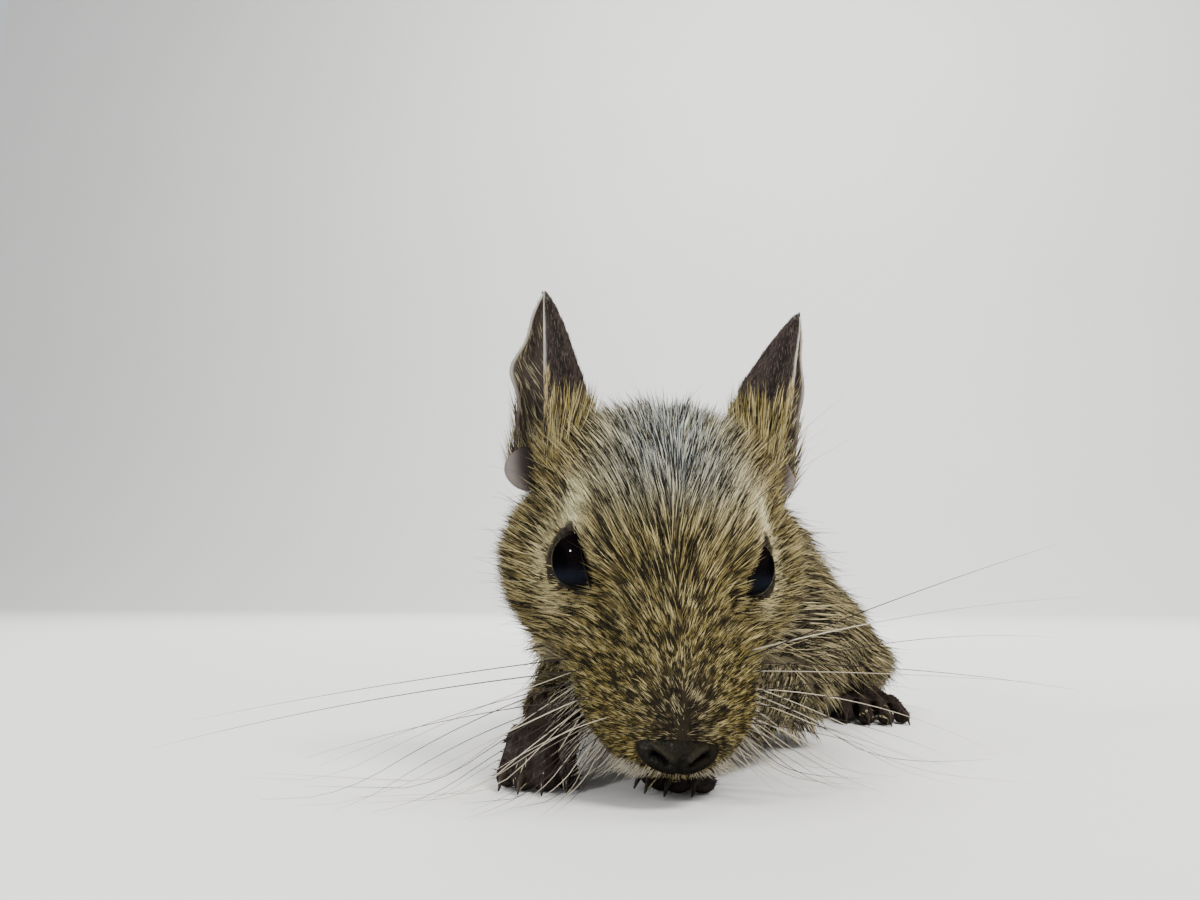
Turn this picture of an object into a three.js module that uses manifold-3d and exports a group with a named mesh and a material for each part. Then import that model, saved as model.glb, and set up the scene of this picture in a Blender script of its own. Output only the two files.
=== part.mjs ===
// A life-size degu crouching on the floor with its head lowered, as closed solids in millimetres.
// Frame: +Z up, the floor at z = 0, the belly over the origin, the tail towards +Y, the head towards -Y,
// and the animal's own left side towards +X.
import * as THREE from "three";
import { mergeVertices } from "three/addons/utils/BufferGeometryUtils.js";
import Module from "manifold-3d";

const wasm = await Module();
wasm.setup();

// Driving dimensions
const GAP = 0.3; // clearance kept between neighbouring solids
const EYE_SPREAD = 10.3; // eyeball centre from the middle of the head
const EYE_RADIUS = 4.3;
const EYE_FORWARD = 1.3; // eyeball centre ahead of the head frame's middle
const EYE_LIFT = 0.6; // eyeball centre above the head frame's own level
const HEAD_AT = new THREE.Vector3(2.5, -69, 27.2); // point between the eyes
const HEAD_PITCH = 43; // degrees that the snout points below the horizon
const HEAD_TURN = 16; // degrees that the snout points to the animal's left
const HEAD_ROLL = 3.5; // degrees that the crown leans to the animal's left
const EAR_LENGTH = 27;
const EAR_RADIUS = 5.4;
const EAR_WALL = 0.85;
const WHISKERS = 9; // on each side
const WHISKER_WIDTH = 0.62; // at the root
const TAIL_BRUSH_LOCKS = 30;
const FORETOES = 4;
const HINDTOES = 4;
const SEED = 20;

const V = (x, y, z) => new THREE.Vector3(x, y, z);
const rad = THREE.MathUtils.degToRad;
const { lerp, clamp, smoothstep } = THREE.MathUtils;
const UP = V(0, 0, 1);
const LEFT = V(1, 0, 0);
const BACK = V(0, 1, 0);

// The head's own frame: x to the animal's left, y backwards from the nose, z up
const headTurn = new THREE.Matrix4()
  .makeRotationZ(rad(HEAD_TURN))
  .multiply(new THREE.Matrix4().makeRotationX(rad(HEAD_PITCH)))
  .multiply(new THREE.Matrix4().makeRotationY(rad(HEAD_ROLL)));
const headFrame = new THREE.Matrix4().makeTranslation(HEAD_AT).multiply(headTurn);
const headInverse = headFrame.clone().invert();
const fromHead = (x, y, z) => V(x, y, z).applyMatrix4(headFrame);
const headDirection = (x, y, z) => V(x, y, z).applyMatrix4(headTurn).normalize();

// A repeatable draw between 0 and 1
let drawState = SEED;
function draw() {
  drawState = (drawState * 16807) % 2147483647;
  return drawState / 2147483647;
}
const vary = (share) => 1 + share * (2 * draw() - 1);

// Distance functions, negative inside
function ellipsoid(centre, radii) {
  return (p) => {
    const x = (p.x - centre.x) / radii.x;
    const y = (p.y - centre.y) / radii.y;
    const z = (p.z - centre.z) / radii.z;
    const near = Math.hypot(x, y, z);
    const slope = Math.hypot(x / radii.x, y / radii.y, z / radii.z);
    return (near * (near - 1)) / Math.max(slope, 1e-9);
  };
}
function bone(from, to, startRadius, endRadius) {
  const along = to.clone().sub(from);
  const square = along.lengthSq();
  return (p) => {
    const x = p.x - from.x;
    const y = p.y - from.y;
    const z = p.z - from.z;
    const t = clamp((x * along.x + y * along.y + z * along.z) / square, 0, 1);
    const away = Math.hypot(x - t * along.x, y - t * along.y, z - t * along.z);
    return away - lerp(startRadius, endRadius, t);
  };
}
function melt(a, b, blend) {
  const h = Math.max(blend - Math.abs(a - b), 0) / blend;
  return Math.min(a, b) - (h * h * blend) / 4;
}
const both = (make) => [make(1), make(-1)];

// Forms of the head, in the head's own frame
const headForms = [
  ellipsoid(V(0, 9, 1), V(13.5, 17, 11.5)), // cranium
  bone(V(0, 3, 2), V(0, -16.5, -4), 9.6, 6.6), // bridge of the snout
  ellipsoid(V(0, -21, -5.4), V(5.6, 4.6, 5)), // end of the snout
  bone(V(0, -16, -12), V(0, 4, -11), 3.4, 8.5), // lower jaw
  ...both((side) => ellipsoid(V(side * 4.3, -16.6, -7.8), V(4.6, 6.4, 4.6))), // whisker cushion
  ...both((side) => ellipsoid(V(side * 10.8, 8.5, -8.2), V(10.4, 13, 10.6))), // cheek
  ...both((side) => bone(V(side * 9, 0, -8), V(side * 4.6, -14.5, -7.6), 7.6, 5.6)), // face below the eye
  ...both((side) => ellipsoid(V(side * 7.2, 2.5, 4.2), V(4.6, 7, 4.2))), // brow
  ...both((side) => ellipsoid(V(side * 11, 14, 4), V(6, 6.5, 6.5))), // root of the ear
];
const headBlend = 4;

// Forms of the neck and body, in the part's frame
const bodyForms = [
  bone(fromHead(0, 11, -3), V(0, -36, 27), 15.5, 17), // neck
  ellipsoid(V(0, -30, 24.6), V(22.5, 23, 17.5)), // shoulders
  ellipsoid(V(0, -28, 16), V(20, 22, 14.5)), // chest
  ellipsoid(V(0, 0, 25), V(20, 46, 19)), // back
  ellipsoid(V(0, 8, 16), V(29.5, 42, 16.4)), // belly
  ellipsoid(V(0, 28, 21), V(22, 27, 19)), // rump
  bone(V(0, 44, 14), V(0, 57, 8.5), 9, 6), // root of the tail
  ...both((side) => ellipsoid(V(side * 20.6, 20.5, 9.3), V(14.5, 24, 9.6))), // thigh
  ...both((side) => ellipsoid(V(side * 15.5, -36, 15), V(8, 12, 13))), // upper arm
];
const bodyBlend = 7;
const joinBlend = 6;

const local = V(0, 0, 0);
function flesh(p) {
  local.copy(p).applyMatrix4(headInverse);
  let head = headForms[0](local);
  for (const form of headForms.slice(1)) head = melt(head, form(local), headBlend);
  let body = bodyForms[0](p);
  for (const form of bodyForms.slice(1)) body = melt(body, form(p), bodyBlend);
  return melt(head, body, joinBlend);
}

// Where a ray that starts inside the flesh leaves it, grown by some distance
const probe = V(0, 0, 0);
function exit(from, direction, grown) {
  const outside = (t) => flesh(probe.copy(from).addScaledVector(direction, t)) > grown;
  let far = 1;
  while (!outside(far) && far < 80) far += 0.8;
  let near = far - 0.8;
  for (let i = 0; i < 16; i++) {
    const middle = (near + far) / 2;
    if (outside(middle)) far = middle;
    else near = middle;
  }
  return from.clone().addScaledVector(direction, (near + far) / 2);
}

// Solids and meshes
function solid(geometry) {
  const bare = new THREE.BufferGeometry().setAttribute("position", geometry.getAttribute("position"));
  if (geometry.index) bare.setIndex(geometry.index);
  const merged = mergeVertices(bare, 1e-4);
  return new wasm.Manifold(
    new wasm.Mesh({
      numProp: 3,
      vertProperties: new Float32Array(merged.attributes.position.array),
      triVerts: new Uint32Array(merged.index.array),
    }),
  );
}
function largest(made) {
  const pieces = made.decompose();
  return pieces.reduce((best, piece) => (piece.volume() > best.volume() ? piece : best));
}
const group = new THREE.Group();
function place(name, made, material) {
  const kept = largest(made.trimByPlane([0, 0, 1], 0));
  const mesh = kept.getMesh();
  const geometry = new THREE.BufferGeometry()
    .setAttribute("position", new THREE.BufferAttribute(new Float32Array(mesh.vertProperties), 3))
    .setIndex(new THREE.BufferAttribute(new Uint32Array(mesh.triVerts), 1));
  geometry.computeVertexNormals();
  const node = new THREE.Mesh(geometry, material);
  node.name = name;
  group.add(node);
  return kept;
}
// Keeps the side of a plane that its normal points to
function half(made, point, normal, back = 0) {
  const n = normal.clone().normalize();
  return made.trimByPlane([n.x, n.y, n.z], n.dot(point) + back);
}

// A closed skin over rings of points, with a single point at each end
function skin(rings, first, last) {
  const count = rings[0].length;
  const points = [first, ...rings.flat(), last];
  const faces = [];
  const at = (ring, i) => 1 + ring * count + (i % count);
  for (let i = 0; i < count; i++) {
    faces.push(0, at(0, i + 1), at(0, i));
    faces.push(points.length - 1, at(rings.length - 1, i), at(rings.length - 1, i + 1));
    for (let r = 0; r + 1 < rings.length; r++) {
      faces.push(at(r, i), at(r, i + 1), at(r + 1, i));
      faces.push(at(r, i + 1), at(r + 1, i + 1), at(r + 1, i));
    }
  }
  const geometry = new THREE.BufferGeometry().setFromPoints(points);
  geometry.setIndex(faces);
  const made = solid(geometry);
  if (made.volume() >= 0) return made;
  for (let i = 0; i < faces.length; i += 3) [faces[i], faces[i + 1]] = [faces[i + 1], faces[i]];
  geometry.setIndex(faces);
  return solid(geometry);
}

// A round limb, toe, lock or whisker along a curve; width and height are functions of the share of its length
function limb(points, width, height, sides, steps, upward = UP) {
  const curve = new THREE.CatmullRomCurve3(points);
  const rings = [];
  for (let s = 0; s < steps; s++) {
    const t = s / (steps - 1);
    const at = curve.getPoint(t);
    const along = curve.getTangent(t);
    const across = along.clone().cross(upward).normalize();
    const over = across.clone().cross(along).normalize();
    rings.push(
      Array.from({ length: sides }, (_, i) => {
        const angle = (2 * Math.PI * (i + 0.5)) / sides;
        return at
          .clone()
          .addScaledVector(across, width(t) * Math.cos(angle))
          .addScaledVector(over, height(t) * Math.sin(angle));
      }),
    );
  }
  const start = curve.getPoint(0).addScaledVector(curve.getTangent(0), -0.35 * width(0));
  const end = curve.getPoint(1).addScaledVector(curve.getTangent(1), 0.5 * width(1));
  return skin(rings, start, end);
}
function ball(centre, radii, turn = new THREE.Matrix4(), columns = 16, rows = 10) {
  const geometry = new THREE.SphereGeometry(1, columns, rows);
  geometry.scale(radii.x, radii.y, radii.z);
  geometry.applyMatrix4(turn);
  geometry.translate(centre.x, centre.y, centre.z);
  return solid(geometry);
}
const join = (pieces) => wasm.Manifold.union(pieces);

// The trunk, from the nose to the root of the tail, as one skin round a spine
const SIDES = 28;
const spine = new THREE.CatmullRomCurve3([
  fromHead(0, -17.5, -6),
  fromHead(0, -6, -4.6),
  fromHead(0, 5, -3.4),
  V(0.4, -53, 34),
  V(0, -40, 31.5),
  V(0, -18, 27),
  V(0, 10, 24.5),
  V(0, 36, 20),
]);
const HEAD_SHARE = 0.34; // share of the spine that carries the closer rings of the head
function spineFrame(t) {
  const at = spine.getPointAt(t);
  const turned = clamp((t - 0.12) / 0.45, 0, 1); // the rings swing evenly from the head's lie to the body's
  const along = headDirection(0, 1, 0).lerp(BACK, turned).normalize();
  const side = headDirection(1, 0, 0).lerp(LEFT, turned);
  side.addScaledVector(along, -side.dot(along)).normalize();
  return { at, along, side, over: side.clone().cross(along).normalize() };
}
const ringStations = [];
const HEAD_RINGS = 14;
const BODY_RINGS = 14;
for (let i = 1; i <= HEAD_RINGS; i++) ringStations.push((i / HEAD_RINGS) * HEAD_SHARE);
for (let i = 1; i < BODY_RINGS; i++) ringStations.push(lerp(HEAD_SHARE, 1, i / BODY_RINGS));
const CAP_RINGS = 6;
function trunkSolid(grown) {
  const rings = [];
  const ring = (frame, tilt) =>
    Array.from({ length: SIDES }, (_, i) => {
      const angle = (2 * Math.PI * i) / SIDES;
      const direction = frame.side
        .clone()
        .multiplyScalar(Math.cos(angle) * Math.cos(tilt))
        .addScaledVector(frame.over, Math.sin(angle) * Math.cos(tilt))
        .addScaledVector(frame.along, Math.sin(tilt));
      return exit(frame.at, direction, grown);
    });
  const nose = spineFrame(0);
  const rump = spineFrame(1);
  for (let i = 1; i <= CAP_RINGS; i++) rings.push(ring(nose, rad(-90 * (1 - i / CAP_RINGS))));
  for (const station of ringStations) rings.push(ring(spineFrame(station), 0));
  for (let i = 0; i < CAP_RINGS; i++) rings.push(ring(rump, rad((90 * i) / CAP_RINGS)));
  const first = exit(nose.at, nose.along.clone().negate(), grown);
  const last = exit(rump.at, rump.along, grown);
  return skin(rings, first, last);
}
const trunk = trunkSolid(0);
const trunkRoom = trunkSolid(GAP);

// Materials
const paint = (color, roughness, metalness = 0) =>
  new THREE.MeshStandardMaterial({ color, roughness, metalness });
const coat = paint(0x6d5c3d, 0.9);
const darkCoat = paint(0x2a231d, 0.9);
const bareEar = paint(0x54463f, 0.7);
const noseSkin = paint(0x2b2723, 0.5);
const eyeBlack = paint(0x08080a, 0.08);
const pawSkin = paint(0x3a2f2a, 0.7);
const whiskerWhite = paint(0xb9ad9b, 0.5);

// Eyes, with a lid ring fused to the head round each
const eyeAxis = (side) => headDirection(side * 0.88, -0.4, 0.26);
const eyeAt = (side) => fromHead(side * EYE_SPREAD, -EYE_FORWARD, EYE_LIFT);
const LID_WIDTH = 0.85;
const LID_LONG = 4.1; // half the opening along the head
const LID_HIGH = 3.7;
const LID_RISE = 1.75; // lid ring in front of the eyeball's centre
function lidRing(side) {
  const axis = eyeAxis(side);
  const along = headDirection(0, 1, 0);
  along.addScaledVector(axis, -along.dot(axis)).normalize();
  const over = along.clone().cross(axis).normalize();
  const centre = eyeAt(side).addScaledVector(axis, LID_RISE);
  const corners = 20;
  const tube = 5;
  const points = [];
  const faces = [];
  for (let i = 0; i < corners; i++) {
    const a = (2 * Math.PI * i) / corners;
    const out = along.clone().multiplyScalar(Math.cos(a)).addScaledVector(over, Math.sin(a));
    const at = centre
      .clone()
      .addScaledVector(along, LID_LONG * Math.cos(a))
      .addScaledVector(over, LID_HIGH * Math.sin(a));
    for (let j = 0; j < tube; j++) {
      const b = (2 * Math.PI * j) / tube;
      points.push(
        at
          .clone()
          .addScaledVector(out, LID_WIDTH * Math.cos(b))
          .addScaledVector(axis, 1.25 * LID_WIDTH * Math.sin(b)),
      );
      const next = ((i + 1) % corners) * tube;
      const here = i * tube;
      const turn = (j + 1) % tube;
      faces.push(here + j, next + j, here + turn, next + j, next + turn, here + turn);
    }
  }
  const geometry = new THREE.BufferGeometry().setFromPoints(points);
  geometry.setIndex(faces);
  const made = solid(geometry);
  if (made.volume() > 0) return made;
  for (let i = 0; i < faces.length; i += 3) [faces[i], faces[i + 1]] = [faces[i + 1], faces[i]];
  geometry.setIndex(faces);
  return solid(geometry);
}
// What lies over the eyeball inside the lid ring
const eyeOpening = (side) =>
  limb(
    [0.4, 4, 9].map((away) => eyeAt(side).addScaledVector(eyeAxis(side), away)),
    (t) => lerp(0.9, 1.15, t) * LID_LONG,
    (t) => lerp(0.9, 1.15, t) * LID_HIGH,
    16,
    3,
    headDirection(0, 0, 1),
  );
const eyeballs = both((side) => ball(eyeAt(side), V(1, 1, 1).multiplyScalar(EYE_RADIUS), undefined, 18, 11));
const eyeRooms = both((side) => ball(eyeAt(side), V(1, 1, 1).multiplyScalar(EYE_RADIUS + GAP), undefined, 18, 11));

// Nose pad: the front of the snout, with a comma-shaped nostril each side
const PAD = { at: V(0, -24.4, -5), radii: V(4.4, 2.6, 3.1) };
const padRegion = (grown) =>
  ball(
    fromHead(PAD.at.x, PAD.at.y, PAD.at.z),
    V(PAD.radii.x + grown, PAD.radii.y + grown, PAD.radii.z + grown),
    headTurn,
    16,
    9,
  );
const nostrils = both((side) =>
  limb(
    [
      fromHead(side * 0.9, -26.4, -7.1),
      fromHead(side * 1.6, -25.9, -6.5),
      fromHead(side * 2.6, -25.2, -6.1),
      fromHead(side * 3.3, -24.2, -5.2),
    ],
    (t) => lerp(0.35, 0.75, t),
    (t) => lerp(0.35, 0.75, t),
    8,
    6,
    headDirection(0, 0, 1),
  ),
);
// The line of the mouth: a shallow slot round the lower lip, and the cleft of the upper lip above it
const LIP_LEVEL = -11.7;
const SLOT = 0.5;
const lipOutline = new THREE.Shape().absellipse(0, -14.5, 9, 10.5, 0, 2 * Math.PI);
lipOutline.holes.push(new THREE.Path().absellipse(0, -13.6, 3.6, 5.6, 0, 2 * Math.PI));
const mouthSlot = solid(
  new THREE.ExtrudeGeometry(lipOutline, { depth: SLOT, bevelEnabled: false, curveSegments: 10 })
    .translate(0, 0, LIP_LEVEL)
    .applyMatrix4(headFrame),
).subtract(half(ball(fromHead(0, 2, -10), V(30, 14, 30), headTurn), fromHead(0, -30, 0), headDirection(0, 1, 0)));
const lipCleft = solid(new THREE.BoxGeometry(SLOT, 2.4, 4.4).translate(0, -22.6, -9.9).applyMatrix4(headFrame));

// Regions that part the trunk, each made with and without room for the gap
const armRegion = (side, grown) =>
  ball(V(side * 21, -37, 11.5), V(9.5 + grown, 13 + grown, 15 + grown), undefined, 16, 10);
const thighRegion = (side, grown) =>
  ball(V(side * 30, 22, 12), V(15 + grown, 22 + grown, 19 + grown), undefined, 18, 12);
const cushionRegion = (side, grown) =>
  ball(fromHead(side * 8.4, -16.2, -8), V(4.6 + grown, 5.6 + grown, 4.2 + grown), headTurn, 14, 8);
const sides = [
  { side: 1, name: "left" },
  { side: -1, name: "right" },
];
const neckStation = spineFrame(0.25);
const torsoStation = spineFrame(0.42);
const tailCut = { at: V(0, 54.5, 9), along: V(0, 0.94, -0.34) };

// Ears: a shell rolled round its own axis, open to the side
const ears = sides.map(({ side, name }) => {
  const axisStart = side > 0 ? fromHead(14, 12.6, 1.6) : fromHead(-14.6, 12.6, 1);
  const lean = side > 0 ? V(0.2, 0.7, 0.74) : V(-0.06, 0.66, 0.8);
  const axis = headDirection(lean.x, lean.y, lean.z);
  const front = headDirection(side * 0.1, -0.8, 0.6);
  front.addScaledVector(axis, -front.dot(axis)).normalize();
  const inward = axis.clone().cross(front).normalize();
  if (inward.dot(headDirection(-side, 0, 0)) < 0) inward.negate();
  const rows = 11;
  const columns = 11;
  const bend = (v) => 1.8 * v * v; // the tip leans back out
  const hump = (x, centre, width) => Math.exp(-(((x - centre) / width) ** 2));
  const radiusAt = (v) =>
    EAR_RADIUS * (1 - 0.12 * smoothstep(0.3 - v, 0, 0.3) - 0.8 * clamp((v - 0.36) / 0.64, 0, 1) ** 1.1);
  const wallPoint = (u, v, inner) => {
    // u runs from the front edge, round the inward side and the back, to the rear edge
    const open = lerp(38, 62, v);
    const angle = rad(lerp(-90 - 0.1 * open, 176 - 0.5 * open, u));
    const radius = Math.max(radiusAt(v) - (inner ? EAR_WALL * (1 - 0.45 * v) : 0), 0.12);
    const curl = 1 - 0.16 * Math.exp(-((u - 0.02) ** 2) / 0.01);
    const broad = 1 + (side > 0 ? 0.34 : 0.12) * hump(u, 0.4, 0.25) * hump(v, 0.62, 0.25);
    const flare = (side > 0 ? 0.4 : 1.7) * smoothstep(u, 0.55, 1) * (hump(v, 0.62, 0.12) + 0.25 * hump(v, 0.84, 0.1));
    return axisStart
      .clone()
      .addScaledVector(axis, EAR_LENGTH * v)
      .addScaledVector(front, -bend(v) - radius * curl * 0.95 * Math.sin(angle))
      .addScaledVector(inward, radius * curl * broad * Math.cos(angle) - 0.4 * bend(v) - flare);
  };
  const rings = [];
  for (let r = 0; r < rows; r++) {
    const v = r / (rows - 1);
    const ring = [];
    for (let c = 0; c < columns; c++) ring.push(wallPoint(c / (columns - 1), v, false));
    for (let c = columns - 1; c >= 0; c--) ring.push(wallPoint(c / (columns - 1), v, true));
    rings.push(ring);
  }
  const middle = (ring) => ring.reduce((sum, p) => sum.add(p), V(0, 0, 0)).divideScalar(ring.length);
  const rootPoint = rings[0][Math.floor(columns / 2)].clone().lerp(rings[0][Math.floor(columns * 1.5)], 0.5);
  const tipPoint = middle(rings[rows - 1]).addScaledVector(axis, 0.8);
  const lobeAt = axisStart.clone().addScaledVector(inward, -4.3).addScaledVector(front, -0.2).addScaledVector(axis, 2.6);
  const lobeTurn = new THREE.Matrix4().makeBasis(inward, front, axis);
  const lobe = ball(lobeAt, V(1.5, 2.1, 3.1), lobeTurn, 10, 7);
  return { side, name, made: join([skin(rings, rootPoint, tipPoint), lobe]) };
});

// Whiskers, rooted in the cushion on each side of the snout
function whisker(side, index) {
  const row = index % 3;
  const column = Math.floor(index / 3);
  const root = fromHead(side * 7.2, -19.4 + 2.7 * column, -6.2 - 1.7 * row);
  const out = headDirection(
    side * 0.95,
    -0.4 + 0.26 * column + 0.06 * row,
    (side > 0 ? 0.6 : 0.14) - 0.3 * row + 0.14 * draw(),
  );
  const length = (36 + 7 * column) * vary(0.12);
  const droop = (3.5 + 3 * row) * vary(0.3);
  const points = [];
  for (let i = 0; i <= 6; i++) {
    const t = i / 6;
    const at = root.clone().addScaledVector(out, length * t - 1.2);
    at.z -= droop * t * t;
    at.y += 4 * t * t;
    at.z = at.z > 4 ? at.z : 1.4 + 2.6 * Math.exp((at.z - 4) / 4); // bends clear of the floor
    points.push(at);
  }
  const width = (t) => (WHISKER_WIDTH / 2) * (1 - 0.72 * t);
  return limb(points, width, width, 3, 6);
}

// Feet: a palm or sole, its toes and claws, and the shank that carries them
function toe(root, direction, length, width, clawLength) {
  const reach = direction.clone().normalize();
  const knuckle = root.clone().addScaledVector(reach, 0.45 * length);
  knuckle.z += 0.55 * width;
  const tip = root.clone().addScaledVector(reach, length);
  tip.z = 0.42 * width;
  const clawMid = tip.clone().addScaledVector(reach, 0.55 * clawLength);
  clawMid.z += 0.35;
  const clawTip = tip.clone().addScaledVector(reach, clawLength);
  clawTip.z = 0.15;
  const thick = (t) => (width / 2) * (1 + 0.12 * Math.cos(2 * Math.PI * t) - 0.22 * t);
  return [
    limb([root, knuckle, tip], thick, thick, 6, 4),
    limb(
      [tip.clone().addScaledVector(reach, -0.8), clawMid, clawTip],
      (t) => lerp(0.75, 0.2, t),
      (t) => lerp(0.9, 0.2, t),
      4,
      3,
    ),
  ];
}
function foot({ heel, ball: front, spread, toeLengths, toeWidth, width, height, claw }) {
  const reach = front.clone().sub(heel).setZ(0).normalize();
  const across = reach.clone().cross(UP);
  const pieces = [
    limb(
      [heel, heel.clone().lerp(front, 0.5), front],
      (t) => width * lerp(0.72, 1, t),
      (t) => height * lerp(1, 0.78, t),
      10,
      5,
    ),
  ];
  toeLengths.forEach((length, i) => {
    const share = toeLengths.length > 1 ? i / (toeLengths.length - 1) - 0.5 : 0;
    const root = front
      .clone()
      .addScaledVector(across, share * 1.55 * width)
      .addScaledVector(reach, -1.6 - 1.6 * Math.abs(share));
    root.z = front.z - 0.3 * height;
    const direction = reach.clone().addScaledVector(across, share * spread);
    pieces.push(...toe(root, direction, length, toeWidth, claw));
  });
  return pieces;
}
const forefeet = [
  {
    name: "left",
    side: 1,
    elbow: V(15, -40, 12),
    wrist: V(8.6, -61.5, 7),
    front: V(5.6, -68.4, 3.6),
  },
  {
    name: "right",
    side: -1,
    elbow: V(-15, -42, 12),
    wrist: V(-13.2, -65, 8.6),
    front: V(-12.6, -71, 5),
  },
].map((leg) => {
  const forearm = limb(
    [leg.elbow, leg.elbow.clone().lerp(leg.wrist, 0.5).setZ(8.6), leg.wrist],
    (t) => lerp(6.6, 3.6, t),
    (t) => lerp(6.4, 3.4, t),
    12,
    5,
  );
  const paw = join(
    foot({
      heel: leg.wrist,
      ball: leg.front,
      spread: 0.5,
      toeLengths: Array.from({ length: FORETOES }, (_, i) => 8.2 - 1.1 * Math.abs(i - 1.4)),
      toeWidth: 2.5,
      width: 3.5,
      height: 2.7,
      claw: 2.6,
    }),
  );
  const reach = leg.front.clone().sub(leg.wrist).normalize();
  return { ...leg, forearm, paw, cutAt: leg.wrist.clone().addScaledVector(reach, 0.6), reach };
});
const hindfeet = sides.map(({ side, name }) => {
  const heel = V(side * 25, 27, 4);
  const front = V(side * 28.5, 3, 3);
  const sole = join(
    foot({
      heel,
      ball: front,
      spread: 0.34,
      toeLengths: Array.from({ length: HINDTOES }, (_, i) => 12 - 1.5 * Math.abs(i - 1.5)),
      toeWidth: 2.9,
      width: 4.3,
      height: 3.5,
      claw: 3,
    }),
  );
  return { side, name, sole };
});

// Tail: three lengths laid on the floor, the last with its brush
const tailCurve = new THREE.CatmullRomCurve3([
  V(0, 50, 10.2),
  V(0.5, 60, 7),
  V(3, 74, 4.4),
  V(8, 94, 3.2),
  V(9, 116, 3),
  V(1, 138, 3.4),
  V(-9, 152, 3.8),
]);
const TAIL_ROOT_RADIUS = 5.4;
const TAIL_END_RADIUS = 1.5;
const TAIL_FLAT = 0.12; // how far the tail sinks to lie on its flat
const BRUSH_FROM = 0.6; // share of the tail where the long dark hair begins
const tailRadius = (t) => lerp(TAIL_ROOT_RADIUS, 2.7, smoothstep(t, 0, 0.5)) - (2.7 - TAIL_END_RADIUS) * smoothstep(t, 0.5, 1);
const tailSteps = 22;
const tailCore = limb(
  Array.from({ length: tailSteps }, (_, i) => {
    const share = i / (tailSteps - 1);
    const at = tailCurve.getPointAt(share);
    at.z = Math.max(at.z, tailRadius(share) - TAIL_FLAT);
    return share > 0.3 ? at.setZ(tailRadius(share) - TAIL_FLAT) : at;
  }),
  tailRadius,
  tailRadius,
  10,
  tailSteps,
);
function brushLock(index) {
  const share = (index + 0.5) / TAIL_BRUSH_LOCKS;
  const from = lerp(BRUSH_FROM + 0.02, 0.985, share ** 0.9);
  const along = tailCurve.getTangentAt(from);
  const across = along.clone().cross(UP).normalize();
  const over = across.clone().cross(along).normalize();
  const angle = index * 2.4 + 0.3 * draw();
  const out = across.clone().multiplyScalar(Math.cos(angle)).addScaledVector(over, Math.sin(angle));
  const length = lerp(8, 15, share) * vary(0.15);
  const lift = lerp(0.3, 0.42, share) * vary(0.2);
  const start = tailCurve.getPointAt(from).addScaledVector(out, 0.25 * tailRadius(from));
  const points = [0, 0.35, 0.7, 1].map((t) => {
    const ahead = tailCurve.getTangentAt(clamp(from + 0.08 * t, 0, 1));
    const p = start
      .clone()
      .addScaledVector(ahead, length * t)
      .addScaledVector(out, 1.2 + length * lift * t * (1.25 - 0.5 * t) - 1.2 * (1 - t));
    p.z = Math.max(p.z, 0.7 + 0.4 * (1 - t));
    return p;
  });
  const width = (t) => 1.15 * (1 - 0.82 * t * t);
  return limb(points, width, (t) => 0.62 * width(t), 4, 4, out);
}
const brush = join([tailCore, ...Array.from({ length: TAIL_BRUSH_LOCKS }, (_, i) => brushLock(i))]);
const tailCuts = [0.3, BRUSH_FROM].map((t) => ({ at: tailCurve.getPointAt(t), along: tailCurve.getTangentAt(t) }));

// Cuts and clearances, then one named node for each part
const cushions = sides.map(({ side, name }) => {
  const whiskers = Array.from({ length: WHISKERS }, (_, i) => whisker(side, i));
  const pad = trunk.intersect(cushionRegion(side, 0)).subtract(padRegion(GAP));
  const rooted = join([largest(pad), ...whiskers]);
  const head = half(trunkRoom, neckStation.at, neckStation.along.clone().negate(), 0);
  const keepClear = largest(head.subtract(cushionRegion(side, 0)));
  return { name: `whiskers_${name}`, made: rooted.subtract(keepClear) };
});
let head = half(trunk, neckStation.at, neckStation.along.clone().negate(), GAP / 2);
for (const { side } of sides) head = join([head.subtract(eyeOpening(side)), lidRing(side)]);
for (const room of eyeRooms) head = head.subtract(room);
for (const { side } of sides) head = head.subtract(cushionRegion(side, GAP)).subtract(armRegion(side, GAP));
head = head.subtract(padRegion(GAP)).subtract(mouthSlot).subtract(lipCleft);
place("head", head, coat);
place("nose", trunkSolid(0.15).intersect(padRegion(0)).subtract(join(nostrils)), noseSkin);
let neck = half(trunk, neckStation.at, neckStation.along, GAP / 2);
neck = half(neck, torsoStation.at, torsoStation.along.clone().negate(), GAP / 2);
let torso = half(trunk, torsoStation.at, torsoStation.along, GAP / 2);
torso = half(torso, tailCut.at, tailCut.along.clone().negate(), GAP / 2);
for (const { side, name } of sides) {
  place(`thigh_${name}`, trunk.intersect(thighRegion(side, 0)), coat);
  torso = torso.subtract(armRegion(side, GAP)).subtract(thighRegion(side, GAP));
  neck = neck.subtract(armRegion(side, GAP));
}
place("torso", torso, coat);
place("neck", neck, coat);
for (const [i, { name }] of sides.entries()) place(`eye_${name}`, eyeballs[i], eyeBlack);
for (const { name, made } of ears) place(`ear_${name}`, made.subtract(trunkRoom), bareEar);
for (const { name, made } of cushions) place(name, made, whiskerWhite);
for (const leg of forefeet) {
  const shoulder = trunk.intersect(armRegion(leg.side, 0));
  const bodyRoom = trunkRoom.subtract(armRegion(leg.side, 0));
  const foreleg = join([shoulder, leg.forearm]).subtract(bodyRoom);
  place(`foreleg_${leg.name}`, half(foreleg, leg.cutAt, leg.reach.clone().negate(), GAP / 2), coat);
  place(`forepaw_${leg.name}`, half(leg.paw, leg.cutAt, leg.reach, GAP / 2).subtract(trunkRoom), pawSkin);
}
for (const { name, sole } of hindfeet) place(`hindfoot_${name}`, sole.subtract(trunkRoom), pawSkin);
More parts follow.
